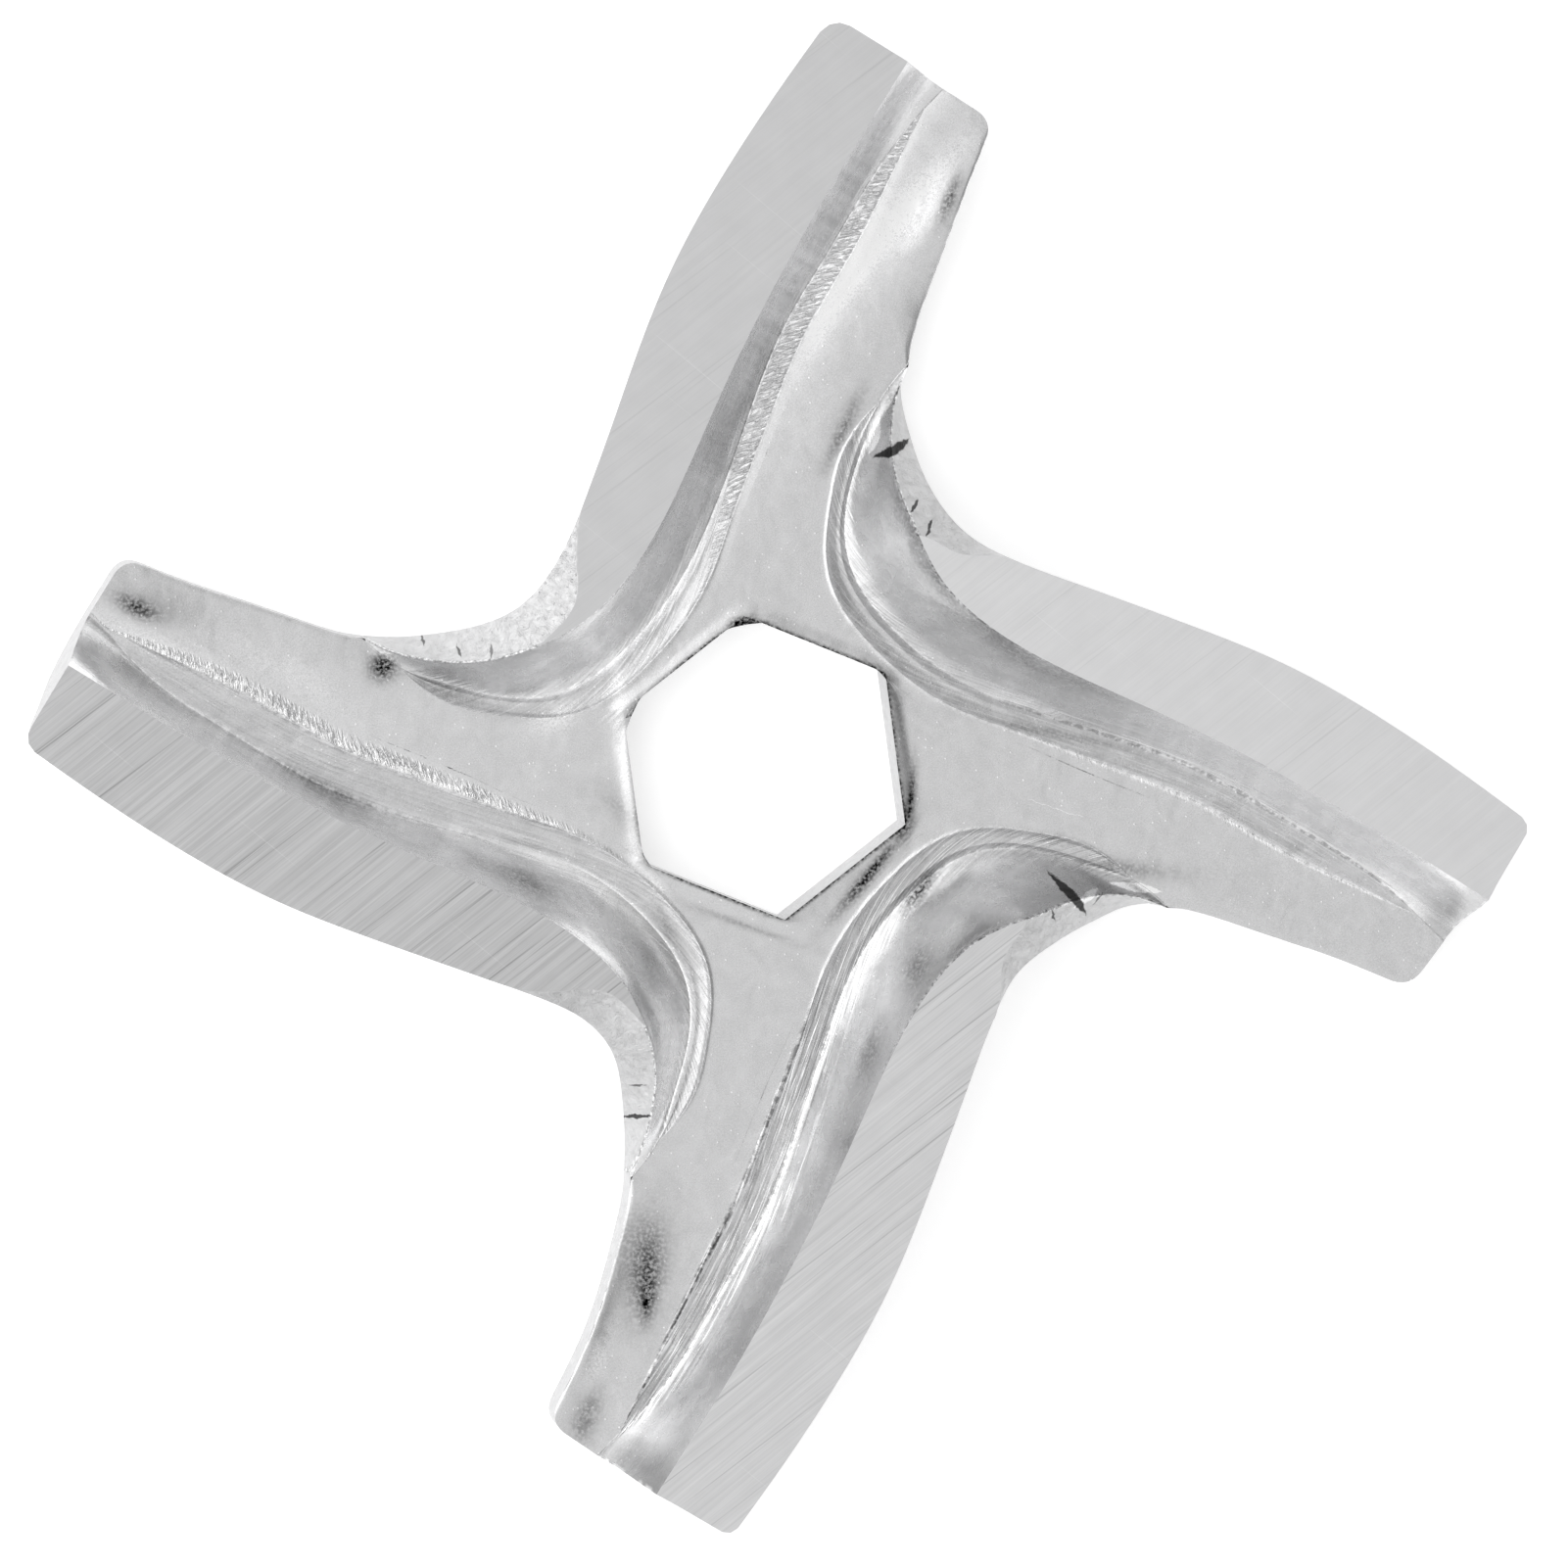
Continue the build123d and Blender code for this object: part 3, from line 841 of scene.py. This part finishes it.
def roughen(mesh, sizes):
    """Moves the mesh's points along their normals by smooth random fields: a slow
    swell on the pressed faces, a tear on the sheared ones, none on the ground faces
    or the underside."""
    count = len(mesh.vertices)
    co, normal = np.empty(count * 3, np.float32), np.empty(count * 3, np.float32)
    mesh.vertices.foreach_get("co", co)
    mesh.vertex_normals.foreach_get("vector", normal)
    co, normal = co.reshape(-1, 3).astype(float), normal.reshape(-1, 3)
    give, tear = np.empty(count, np.float32), np.empty(count, np.float32)
    mesh.attributes["give"].data.foreach_get("value", give)
    mesh.attributes["tear"].data.foreach_get("value", tear)
    x, y, z = co.T
    slow = mottle(x + z, y - z, 1.5 * MM, 1) + 0.5 * mottle(x - z, y, 0.7 * MM, 2)
    quick = mottle(x, y + z, 0.32 * MM, 3) + 0.6 * mottle(x + z, y, 0.17 * MM, 4)
    co += normal * (give * slow * SWELL + tear * quick * TEAR)[:, None] * MM
    co[:, 2] = np.clip(co[:, 2], 0, sizes.face_height)
    mesh.vertices.foreach_set("co", co.astype(np.float32).ravel())


def knife_mesh(knife, name):
    """Welds the patches, turns the faces outwards and keeps creases sharp."""
    points = uneven(np.concatenate(knife.points), knife.s)
    quads = np.concatenate(knife.quads)
    kinds = np.concatenate(knife.kinds)
    uvs = np.concatenate(knife.uvs)
    mesh = bpy.data.meshes.new(name)
    faces = [tuple(f) if f[2] != f[3] else tuple(f[:3]) for f in quads.tolist()]
    mesh.from_pydata(points, [], faces)
    mesh.polygons.foreach_set("material_index", kinds.astype(np.int32))
    layer = mesh.uv_layers.new(name="flow")
    corner = np.empty(len(mesh.loops), np.int32)
    mesh.loops.foreach_get("vertex_index", corner)
    layer.data.foreach_set("uv", uvs[corner].astype(np.float32).ravel())
    paint = {"stain_and_painted_light": painted_reflections_and_rim_shade(points, knife.s)}
    paint.update((key, np.concatenate(values)) for key, values in knife.paint.items())
    for key, values in paint.items():
        layer = mesh.attributes.new(key, "FLOAT", "POINT")
        layer.data.foreach_set("value", values.astype(np.float32))
    work = bmesh.new()
    work.from_mesh(mesh)
    bmesh.ops.remove_doubles(work, verts=work.verts, dist=WELD * MM)
    bmesh.ops.dissolve_degenerate(work, edges=work.edges, dist=SPECK * MM)
    bmesh.ops.recalc_face_normals(work, faces=work.faces)
    work.to_mesh(mesh)
    work.free()
    roughen(mesh, knife.s)
    mesh.polygons.foreach_set("use_smooth", np.ones(len(mesh.polygons), bool))
    mesh.set_sharp_from_angle(angle=CREASE)
    return mesh


# ---------------------------------------------------------------- finishes


class Nodes:
    """Short calls that place nodes in one tree and join their sockets."""

    def __init__(self, tree):
        self.tree = tree

    def put(self, kind, settings=None, **inputs):
        node = self.tree.nodes.new(kind)
        for key, value in (settings or {}).items():
            setattr(node, key, value)
        for key, value in inputs.items():
            self.feed(node.inputs[key.replace("_", " ")], value)
        return node

    def feed(self, socket, value):
        if isinstance(value, bpy.types.NodeSocket):
            self.tree.links.new(value, socket)
        else:
            socket.default_value = value

    def maths(self, operation, *values):
        node = self.put("ShaderNodeMath", {"operation": operation})
        for socket, value in zip(node.inputs, values):
            self.feed(socket, value)
        return node.outputs[0]

    def add(self, one, two):
        return self.maths("ADD", one, two)

    def less(self, one, two):
        return self.maths("SUBTRACT", one, two)

    def times(self, one, two):
        return self.maths("MULTIPLY", one, two)

    def centred(self, noise, strength):
        """Noise moved from about a half to about nought, times a strength."""
        return self.times(self.less(noise, 0.5), strength)

    def vectors(self, operation, *values, **inputs):
        node = self.put("ShaderNodeVectorMath", {"operation": operation}, **inputs)
        for socket, value in zip(node.inputs, values):
            self.feed(socket, value)
        return node.outputs

    def between(self, value, low, high, start=0.0, end=1.0):
        """start to end as value goes from low to high, level outside."""
        node = self.put("ShaderNodeMapRange", {"interpolation_type": "SMOOTHSTEP"})
        sockets = ("Value", "From Min", "From Max", "To Min", "To Max")
        for key, number in zip(sockets, (value, low, high, start, end)):
            self.feed(node.inputs[key], number)
        return node.outputs[0]

    def noise(self, vector, scale, detail=2.0, rough=0.5, twist=0.0):
        looks = {"Detail": detail, "Roughness": rough, "Distortion": twist}
        return self.put("ShaderNodeTexNoise", Vector=vector, Scale=scale, **looks).outputs

    def grains(self, vector, size, *looks):
        """Noise whose grains are about `size` millimetres."""
        return self.noise(vector, 1 / (size * MM), *looks)["Fac"]

    def drawn_out(self, vector, turn, long, wide, *looks, unit=1.0):
        """Noise whose grains are `long` by `wide` units, turned by an angle."""
        at = self.placed(vector, turn, (long * unit, wide * unit, unit))
        return self.noise(at, 1.0, *looks)["Fac"]

    def placed(self, vector, turn, size, middle=(0, 0, 0)):
        """The place from a middle, turned, in parts of a size."""
        way = {"Location": middle, "Rotation": (0, 0, turn), "Scale": size}
        kind = {"vector_type": "TEXTURE"}
        return self.put("ShaderNodeMapping", kind, Vector=vector, **way).outputs[0]

    def place(self):
        return self.put("ShaderNodeTexCoord").outputs["Object"]

    def painted(self, name):
        return self.put("ShaderNodeAttribute", {"attribute_name": name}).outputs["Fac"]

    def group(self, tree, **inputs):
        return self.put("ShaderNodeGroup", {"node_tree": tree}, **inputs).outputs


def new_group(name, inputs, outputs):
    """An empty shader node group with named sockets, its Nodes, and its two ends. A
    socket named Vector is a vector and any other a number."""
    tree = bpy.data.node_groups.new(name, "ShaderNodeTree")
    for direction, labels in (("INPUT", inputs), ("OUTPUT", outputs)):
        for label in labels:
            kind = "NodeSocketVector" if label == "Vector" else "NodeSocketFloat"
            tree.interface.new_socket(label, in_out=direction, socket_type=kind)
    nodes = Nodes(tree)
    ends = nodes.put("NodeGroupInput").outputs, nodes.put("NodeGroupOutput").inputs
    return tree, nodes, *ends


def grinding_group(turn):
    """Parallel grinding scratches: noise drawn out along the wheel's direction, at
    two widths, with a few deep ones and a few that cross."""
    tree, n, given, out = new_group("grinding_scratches", ("Vector", "Depth"), ("Height", "Tone"))
    at, depth = given["Vector"], given["Depth"]
    fine = n.drawn_out(at, turn, 8, 0.036, 3.0, 0.65, unit=MM)
    broad = n.drawn_out(at, turn + 0.03, 15, 0.12, 2.0, 0.6, unit=MM)
    deep = n.between(n.drawn_out(at, turn - 0.02, 13, 0.09, 1.0, unit=MM), 0.64, 0.76)
    cross = n.between(n.drawn_out(at, turn - 1.35, 7, 0.05, 1.0, unit=MM), 0.74, 0.80)
    height = n.less(n.add(n.times(fine, 0.5), n.times(broad, 0.6)), n.times(deep, 0.7))
    n.feed(out["Height"], n.times(height, depth))
    tone = n.less(n.add(n.centred(fine, 0.5), n.centred(broad, 0.6)), n.times(deep, 0.45))
    tone = n.times(tone, n.times(n.maths("POWER", depth, 1.3), 0.62))
    n.feed(out["Tone"], n.add(tone, n.times(cross, 0.12)))
    return tree


def pressed_group():
    """Skin of the pressed sheet: a satin grain, painted glints, highlights painted as dots
    round random points, soft stains and a slow swell left by the die."""
    puts_out = ("Height", "Stain", "Glint")
    tree, n, given, out = new_group("pressed_skin", ("Vector", "Grain"), puts_out)
    at = given["Vector"]
    grain = n.grains(at, 0.065, 2.0, 0.6)
    swell = n.grains(at, 1.3, 2.0, 0.5, 0.4)
    dots = n.put("ShaderNodeTexVoronoi", Vector=at, Scale=1 / (0.21 * MM)).outputs
    lucky = n.put("ShaderNodeSeparateColor", Color=dots["Color"]).outputs["Red"]
    dot = n.between(dots["Distance"], 0.07, 0.20, 1.0, 0.0)
    crowd = n.between(n.grains(at, 1.4, 3.0, 0.6), 0.40, 0.62, 0.85, 0.55)
    glint = n.times(dot, n.maths("GREATER_THAN", lucky, crowd))
    n.feed(out["Glint"], glint)
    n.feed(out["Stain"], n.grains(at, 0.7, 4.0, 0.58, 0.8))
    height = n.add(n.times(grain, n.times(given["Grain"], 0.075)), swell)
    n.feed(out["Height"], n.add(height, n.times(glint, 0.08)))
    return tree


def flow_group():
    """Lines drawn along a wing where the sheet flowed over the die: noise drawn out
    along the strip, at two widths, with long streaks and slanting marks."""
    puts_out = ("Height", "Tone", "Streak", "Slant")
    tree, n, _, out = new_group("flow_lines", (), puts_out)
    at = n.put("ShaderNodeUVMap", {"uv_map": "flow"}).outputs[0]
    wide = n.drawn_out(at, 0.0, 3.2, 0.30, 3.0, 0.6, 0.2)
    thin = n.drawn_out(at, 0.02, 2.2, 0.09, 2.0, 0.6)
    n.feed(out["Height"], n.add(wide, n.times(thin, 0.25)))
    n.feed(out["Tone"], n.less(n.add(n.times(wide, 0.7), n.times(thin, 0.3)), 0.5))
    line = n.drawn_out(at, 0.03, 3.6, 0.085, 1.0, 0.5)
    dark = n.between(line, 0.38, 0.44, 0.6, 0.0)
    n.feed(out["Streak"], n.less(n.between(line, 0.56, 0.64), dark))
    slant = n.drawn_out(at, 0.75, 0.085, 0.45, 2.0, 0.6, 0.6)
    n.feed(out["Slant"], n.between(slant, 0.38, 0.62, -0.5, 0.5))
    return tree


def crack_shade_group():
    """The painted crack shade and facet highlights, each a lens: where |v| is less than
    1 - u^2, with u along the mark and v across it in parts of its half length and half
    width, and its edges strayed by noise. Puts out how dark and how bright."""
    tree, n, given, out = new_group("painted_crack_shade_and_highlights", ("Vector",), ("Dark", "Bright"))
    stray = n.noise(given["Vector"], 1 / (0.22 * MM), 2.0, 0.5)["Color"]
    off = n.vectors("SUBTRACT", stray, (0.5, 0.5, 0.5))[0]
    moved = n.vectors("ADD", given["Vector"], n.vectors("SCALE", off, Scale=0.16 * MM)[0])[0]
    sums = {False: 0.0, True: 0.0}
    for x, y, way, long, wide, tone in CRACK_SHADE_AND_FACET_HIGHLIGHTS:
        size = (long * MM, wide * MM, MM)
        at = n.placed(moved, radians(way), size, (x * MM, y * MM, 0))
        part = n.put("ShaderNodeSeparateXYZ", Vector=at).outputs
        lens = n.less(1.0, n.times(part["X"], part["X"]))
        lens = n.less(lens, n.maths("ABSOLUTE", part["Y"]))
        one = n.between(lens, -0.1, 0.25, 0.0, abs(tone))
        sums[tone > 0] = n.maths("MAXIMUM", sums[tone > 0], one)
    n.feed(out["Dark"], sums[False])
    n.feed(out["Bright"], sums[True])
    return tree


def with_crack_shade(n, painted_cracks, at, tone):
    """The tone with the painted crack shade and facet highlights."""
    mark = n.group(painted_cracks, Vector=at)
    return n.times(n.add(tone, mark["Bright"]), n.less(1.0, mark["Dark"]))


def brink_line(n, at, height, tone, strength):
    """Burrs along the wing's inner line: bright and dark specks within 0.08 mm of it."""
    near = n.between(n.maths("ABSOLUTE", n.painted("brink")), 0.02, 0.08, strength, 0.0)
    near = n.times(near, n.painted("burr"))
    speck = n.grains(at, 0.12, 2.0, 0.7)
    tone = n.add(tone, n.times(near, n.between(speck, 0.50, 0.62)))
    tone = n.less(tone, n.times(near, n.between(speck, 0.38, 0.48, 1.0, 0.0)))
    return n.add(height, n.times(near, speck)), tone


def strip_marks(n, at, strip, lines, height, tone):
    """The painted highlight and shade lines along the step's foot and ridge, broken
    into dashes, the slanting marks beside the ridge, and the long streaks."""
    dash = n.between(n.grains(at, 0.20, 3.0, 0.65), 0.42, 0.56, 0.10, 1.0)
    # painted highlight lines where the painted value is above nought, painted shade below
    foot = n.between(n.maths("ABSOLUTE", strip), 0.03, 0.12, 1.0, 0.0)
    ridge = n.between(n.maths("ABSOLUTE", n.less(strip, 1.0)), 0.04, 0.14, 1.0, 0.0)
    foot, ridge = n.times(foot, n.painted("foot_line")), n.times(ridge, n.painted("ridge_line"))
    tone = n.add(tone, n.times(n.add(foot, ridge), n.times(dash, 0.7)))
    past, left = n.less(strip, n.painted("hatch_at")), n.less(n.painted("hatch_end"), strip)
    band = n.times(n.between(past, 0.0, 0.08), n.between(left, 0.0, 0.25))
    worn = n.between(n.grains(at, 0.9, 2.0), 0.32, 0.52, 0.3, 1.0)
    band = n.times(n.times(band, worn), n.painted("hatch"))
    bright = n.maths("MAXIMUM", lines["Slant"], -0.25)
    tone = n.add(tone, n.times(band, n.times(bright, 0.7)))
    height = n.add(height, n.times(band, n.times(lines["Slant"], 0.9)))
    zone = n.times(n.between(strip, -0.7, -0.2), n.between(strip, 0.95, 1.15, 1.0, 0.0))
    zone = n.times(zone, n.painted("streaks"))
    tone = n.add(tone, n.times(zone, n.times(lines["Streak"], 0.40)))
    return n.add(height, n.times(zone, n.times(lines["Streak"], 0.5))), tone


def steel_finish(name, colour, roughness, look):
    """One finish of the steel. `look` places the pattern's nodes and gives its height,
    how high it is in metres, the colour's tone, and a roughness to add."""
    material = bpy.data.materials.new(name)
    material.use_nodes = True
    n = Nodes(material.node_tree)
    shader = material.node_tree.nodes["Principled BSDF"]
    shader.inputs["Metallic"].default_value = 1
    height, distance, tone, rough = look(n)
    tint = n.put("ShaderNodeMix", {"data_type": "RGBA", "blend_type": "MULTIPLY"})
    level = n.put("ShaderNodeCombineColor", Red=tone, Green=tone, Blue=tone)
    for socket, value in ((0, 1), (6, (*colour, 1)), (7, level.outputs[0])):
        n.feed(tint.inputs[socket], value)
    n.feed(shader.inputs["Base Color"], tint.outputs[2])
    n.feed(shader.inputs["Roughness"], n.add(rough, roughness))
    bump = n.put("ShaderNodeBump", Height=height, Distance=distance, Strength=1.0)
    n.feed(shader.inputs["Normal"], bump.outputs[0])
    return material


def knife_finishes(finish):
    """The knife's finishes, in the order of the faces' kinds."""
    scratches, skin = grinding_group(GRINDING_WAY), pressed_group()
    flow, painted_cracks = flow_group(), crack_shade_group()

    def ground(n):
        at = n.place()
        out = n.group(scratches, Vector=at, Depth=n.painted("scratches"))
        cloud = n.grains(at, 1.1, 4.0, 0.6)
        # the ground face's painted reflection, per arm
        tone = n.add(n.add(out["Tone"], n.painted("tone")), n.centred(cloud, 0.10))
        return out["Height"], 0.0016 * MM, tone, n.times(cloud, 0.06)

    def pressed(n):
        at, strip = n.place(), n.painted("strip")
        wing = n.between(strip, 0.6, 1.4, 1.0, 0.0)
        out = n.group(skin, Vector=at, Grain=n.add(1.0, n.times(wing, 0.8)))
        stain_and_painted_light = n.centred(out["Stain"], n.add(0.20, n.times(wing, 0.16)))
        # painted glints: highlight dots added to the colour
        tone = n.add(n.add(stain_and_painted_light, 0.99), n.times(out["Glint"], 0.35))
        tone = n.add(tone, n.centred(n.grains(at, 0.05, 1.0, 0.5), 0.30))
        lines = n.group(flow)
        tone = n.add(tone, n.times(wing, n.times(lines["Tone"], 0.35)))
        height = n.add(out["Height"], n.times(wing, n.times(lines["Height"], 0.30)))
        # painted light: the painted reflections and the rim's painted shade, broken up by noise
        broken = n.between(n.grains(at, 0.10, 3.0, 0.7), 0.30, 0.62, 0.35, 1.3)
        tone = n.add(tone, n.times(n.painted("stain_and_painted_light"), broken))
        # painted light and shade of the wings' inner sides and steps
        tone = n.times(tone, n.painted("flank"))
        height, tone = strip_marks(n, at, strip, lines, height, tone)
        height, tone = brink_line(n, at, height, tone, 0.35)
        # painted shade in cracks and painted highlights on torn facets
        tone = with_crack_shade(n, painted_cracks, at, tone)
        return height, 0.045 * MM, tone, n.times(out["Stain"], 0.10)

    def hidden(n):
        out = n.group(skin, Vector=n.place(), Grain=1.0)
        tone = n.add(n.centred(out["Stain"], 0.3), 0.97)
        return out["Height"], 0.045 * MM, tone, n.times(out["Stain"], 0.10)

    def sheared(n):
        at = n.place()
        tear = n.grains(at, 0.30, 5.0, 0.7, 0.8)
        pits = n.between(n.grains(at, 0.16, 3.0, 0.7), 0.55, 0.75)
        height, tone = n.less(tear, n.times(pits, 0.3)), n.add(0.90, n.centred(tear, 0.5))
        height, tone = brink_line(n, at, height, tone, 0.5)
        return height, 0.08 * MM, with_crack_shade(n, painted_cracks, at, tone), n.times(tear, 0.2)

    finishes = {
        "ground_face": (finish.ground_roughness, ground),
        "pressed_skin": (finish.pressed_roughness, pressed),
        "sheared_edge": (0.38, sheared),
        "underside": (finish.pressed_roughness + 0.04, hidden),
        "cut_wall": (0.35, sheared),
    }
    return [steel_finish(name, finish.steel, *how) for name, how in finishes.items()]


class KNIFE_OT_body(bpy.types.Operator):
    """Add the pressed knife with its finishes"""

    bl_idname = "knife.body"
    bl_label = "Pressed knife"

    def execute(self, context):
        sizes = context.scene.knife_sizes
        finish = context.scene.knife_finish
        mesh = knife_mesh(build_knife(sizes), "knife_body")
        body = bpy.data.objects.new("knife_body", mesh)
        context.scene.collection.objects.link(body)
        for material in knife_finishes(finish):
            mesh.materials.append(material)
        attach(body, "root")
        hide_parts("knife")
        return {"FINISHED"}


# ---------------------------------------------------------------- stage


def floor_object(stage):
    """A wide level square under the knife, of paper that glows where it is looked at."""
    mesh = bpy.data.meshes.new("floor")
    half, z = FLOOR_HALF, -FLOOR_DROP * MM
    corners = [(-half, -half, z), (half, -half, z), (half, half, z), (-half, half, z)]
    mesh.from_pydata(corners, [], [(0, 1, 2, 3)])
    material = bpy.data.materials.new("floor_paper")
    material.use_nodes = True
    n = Nodes(material.node_tree)
    shader = material.node_tree.nodes["Principled BSDF"].inputs
    shader["Base Color"].default_value = (*stage.floor, 1)
    shader["Roughness"].default_value = 0.9
    shader["Emission Color"].default_value = (1, 1, 1, 1)
    rays = n.put("ShaderNodeLightPath").outputs
    looked_at = n.maths("MAXIMUM", rays["Is Camera Ray"], rays["Is Glossy Ray"])
    looked_at = n.maths("MAXIMUM", looked_at, rays["Is Transmission Ray"])
    n.feed(shader["Emission Strength"], n.times(looked_at, FLOOR_GLOW))
    mesh.materials.append(material)
    return bpy.data.objects.new("floor", mesh)


def studio_light():
    """A world that is even but for a bright side and a dark one. Each sets in with the
    cosine of the angle from its middle."""
    world = bpy.data.worlds.new("studio")
    world.use_nodes = True
    n = Nodes(world.node_tree)
    background = world.node_tree.nodes["Background"].inputs
    sky = n.put("ShaderNodeTexCoord").outputs["Generated"]

    def side(direction, reach, strength):
        cosine = n.vectors("DOT_PRODUCT", sky, Vector(direction).normalized())["Value"]
        return n.times(n.between(cosine, *reach), strength)

    softbox = side(SOFTBOX, SOFTBOX_REACH, SOFTBOX_LIGHT)
    flag = side(FLAG, FLAG_REACH, FLAG_SHADE)
    n.feed(background["Strength"], n.less(n.add(softbox, BASE_LIGHT), flag))
    background["Color"].default_value = (1, 1, 1, 1)
    return world


def stage_camera(stage, height):
    """The camera, looking at the middle of the ground faces."""
    tilt, heading = stage.camera_tilt, stage.camera_heading
    way = Vector((cos(heading) * sin(tilt), sin(heading) * sin(tilt), cos(tilt)))
    data = bpy.data.cameras.new("camera")
    data.lens, data.sensor_width = stage.focal_length, SENSOR
    data.shift_x, data.shift_y = CAMERA_SHIFT
    data.clip_start, data.clip_end = CAMERA_CLIP
    camera = bpy.data.objects.new("camera", data)
    camera.location = Vector((0, 0, height)) + stage.camera_distance * way
    camera.rotation_mode = "QUATERNION"
    camera.rotation_quaternion = Vector((0, 0, 1)).rotation_difference(way)
    return camera


class KNIFE_OT_stage(bpy.types.Operator):
    """Add the floor, the soft light and the camera"""

    bl_idname = "knife.stage"
    bl_label = "Stage"

    def execute(self, context):
        scene = context.scene
        floor = floor_object(scene.knife_stage)
        scene.collection.objects.link(floor)
        scene.world = studio_light()
        camera = stage_camera(scene.knife_stage, scene.knife_sizes.face_height)
        scene.collection.objects.link(camera)
        scene.camera = camera
        scene.view_settings.view_transform = "Standard"
        return {"FINISHED"}


class KNIFE_PT_panel(bpy.types.Panel):
    """The knife's sizes, finish and stage"""

    bl_idname = "KNIFE_PT_panel"
    bl_label = "Grinder knife"
    bl_space_type = "VIEW_3D"
    bl_region_type = "UI"
    bl_category = "Knife"

    def draw(self, context):
        layout = self.layout
        scene = context.scene
        for group in (scene.knife_sizes, scene.knife_finish, scene.knife_stage):
            for key in group.__annotations__:
                layout.prop(group, key)
        layout.operator(KNIFE_OT_body.bl_idname)
        layout.operator(KNIFE_OT_stage.bl_idname)


CLASSES = (KnifeSizes, KnifeFinish, StageSettings, KNIFE_OT_body, KNIFE_OT_stage, KNIFE_PT_panel)


def register():
    for item in CLASSES:
        bpy.utils.register_class(item)
    bpy.types.Scene.knife_sizes = PointerProperty(type=KnifeSizes)
    bpy.types.Scene.knife_finish = PointerProperty(type=KnifeFinish)
    bpy.types.Scene.knife_stage = PointerProperty(type=StageSettings)


def unregister():
    del bpy.types.Scene.knife_stage
    del bpy.types.Scene.knife_finish
    del bpy.types.Scene.knife_sizes
    for item in reversed(CLASSES):
        bpy.utils.unregister_class(item)


def main():
    register()
    bpy.ops.knife.body()
    bpy.ops.knife.stage()
    bpy.context.view_layer.update()


if __name__ == "__main__":
    main()
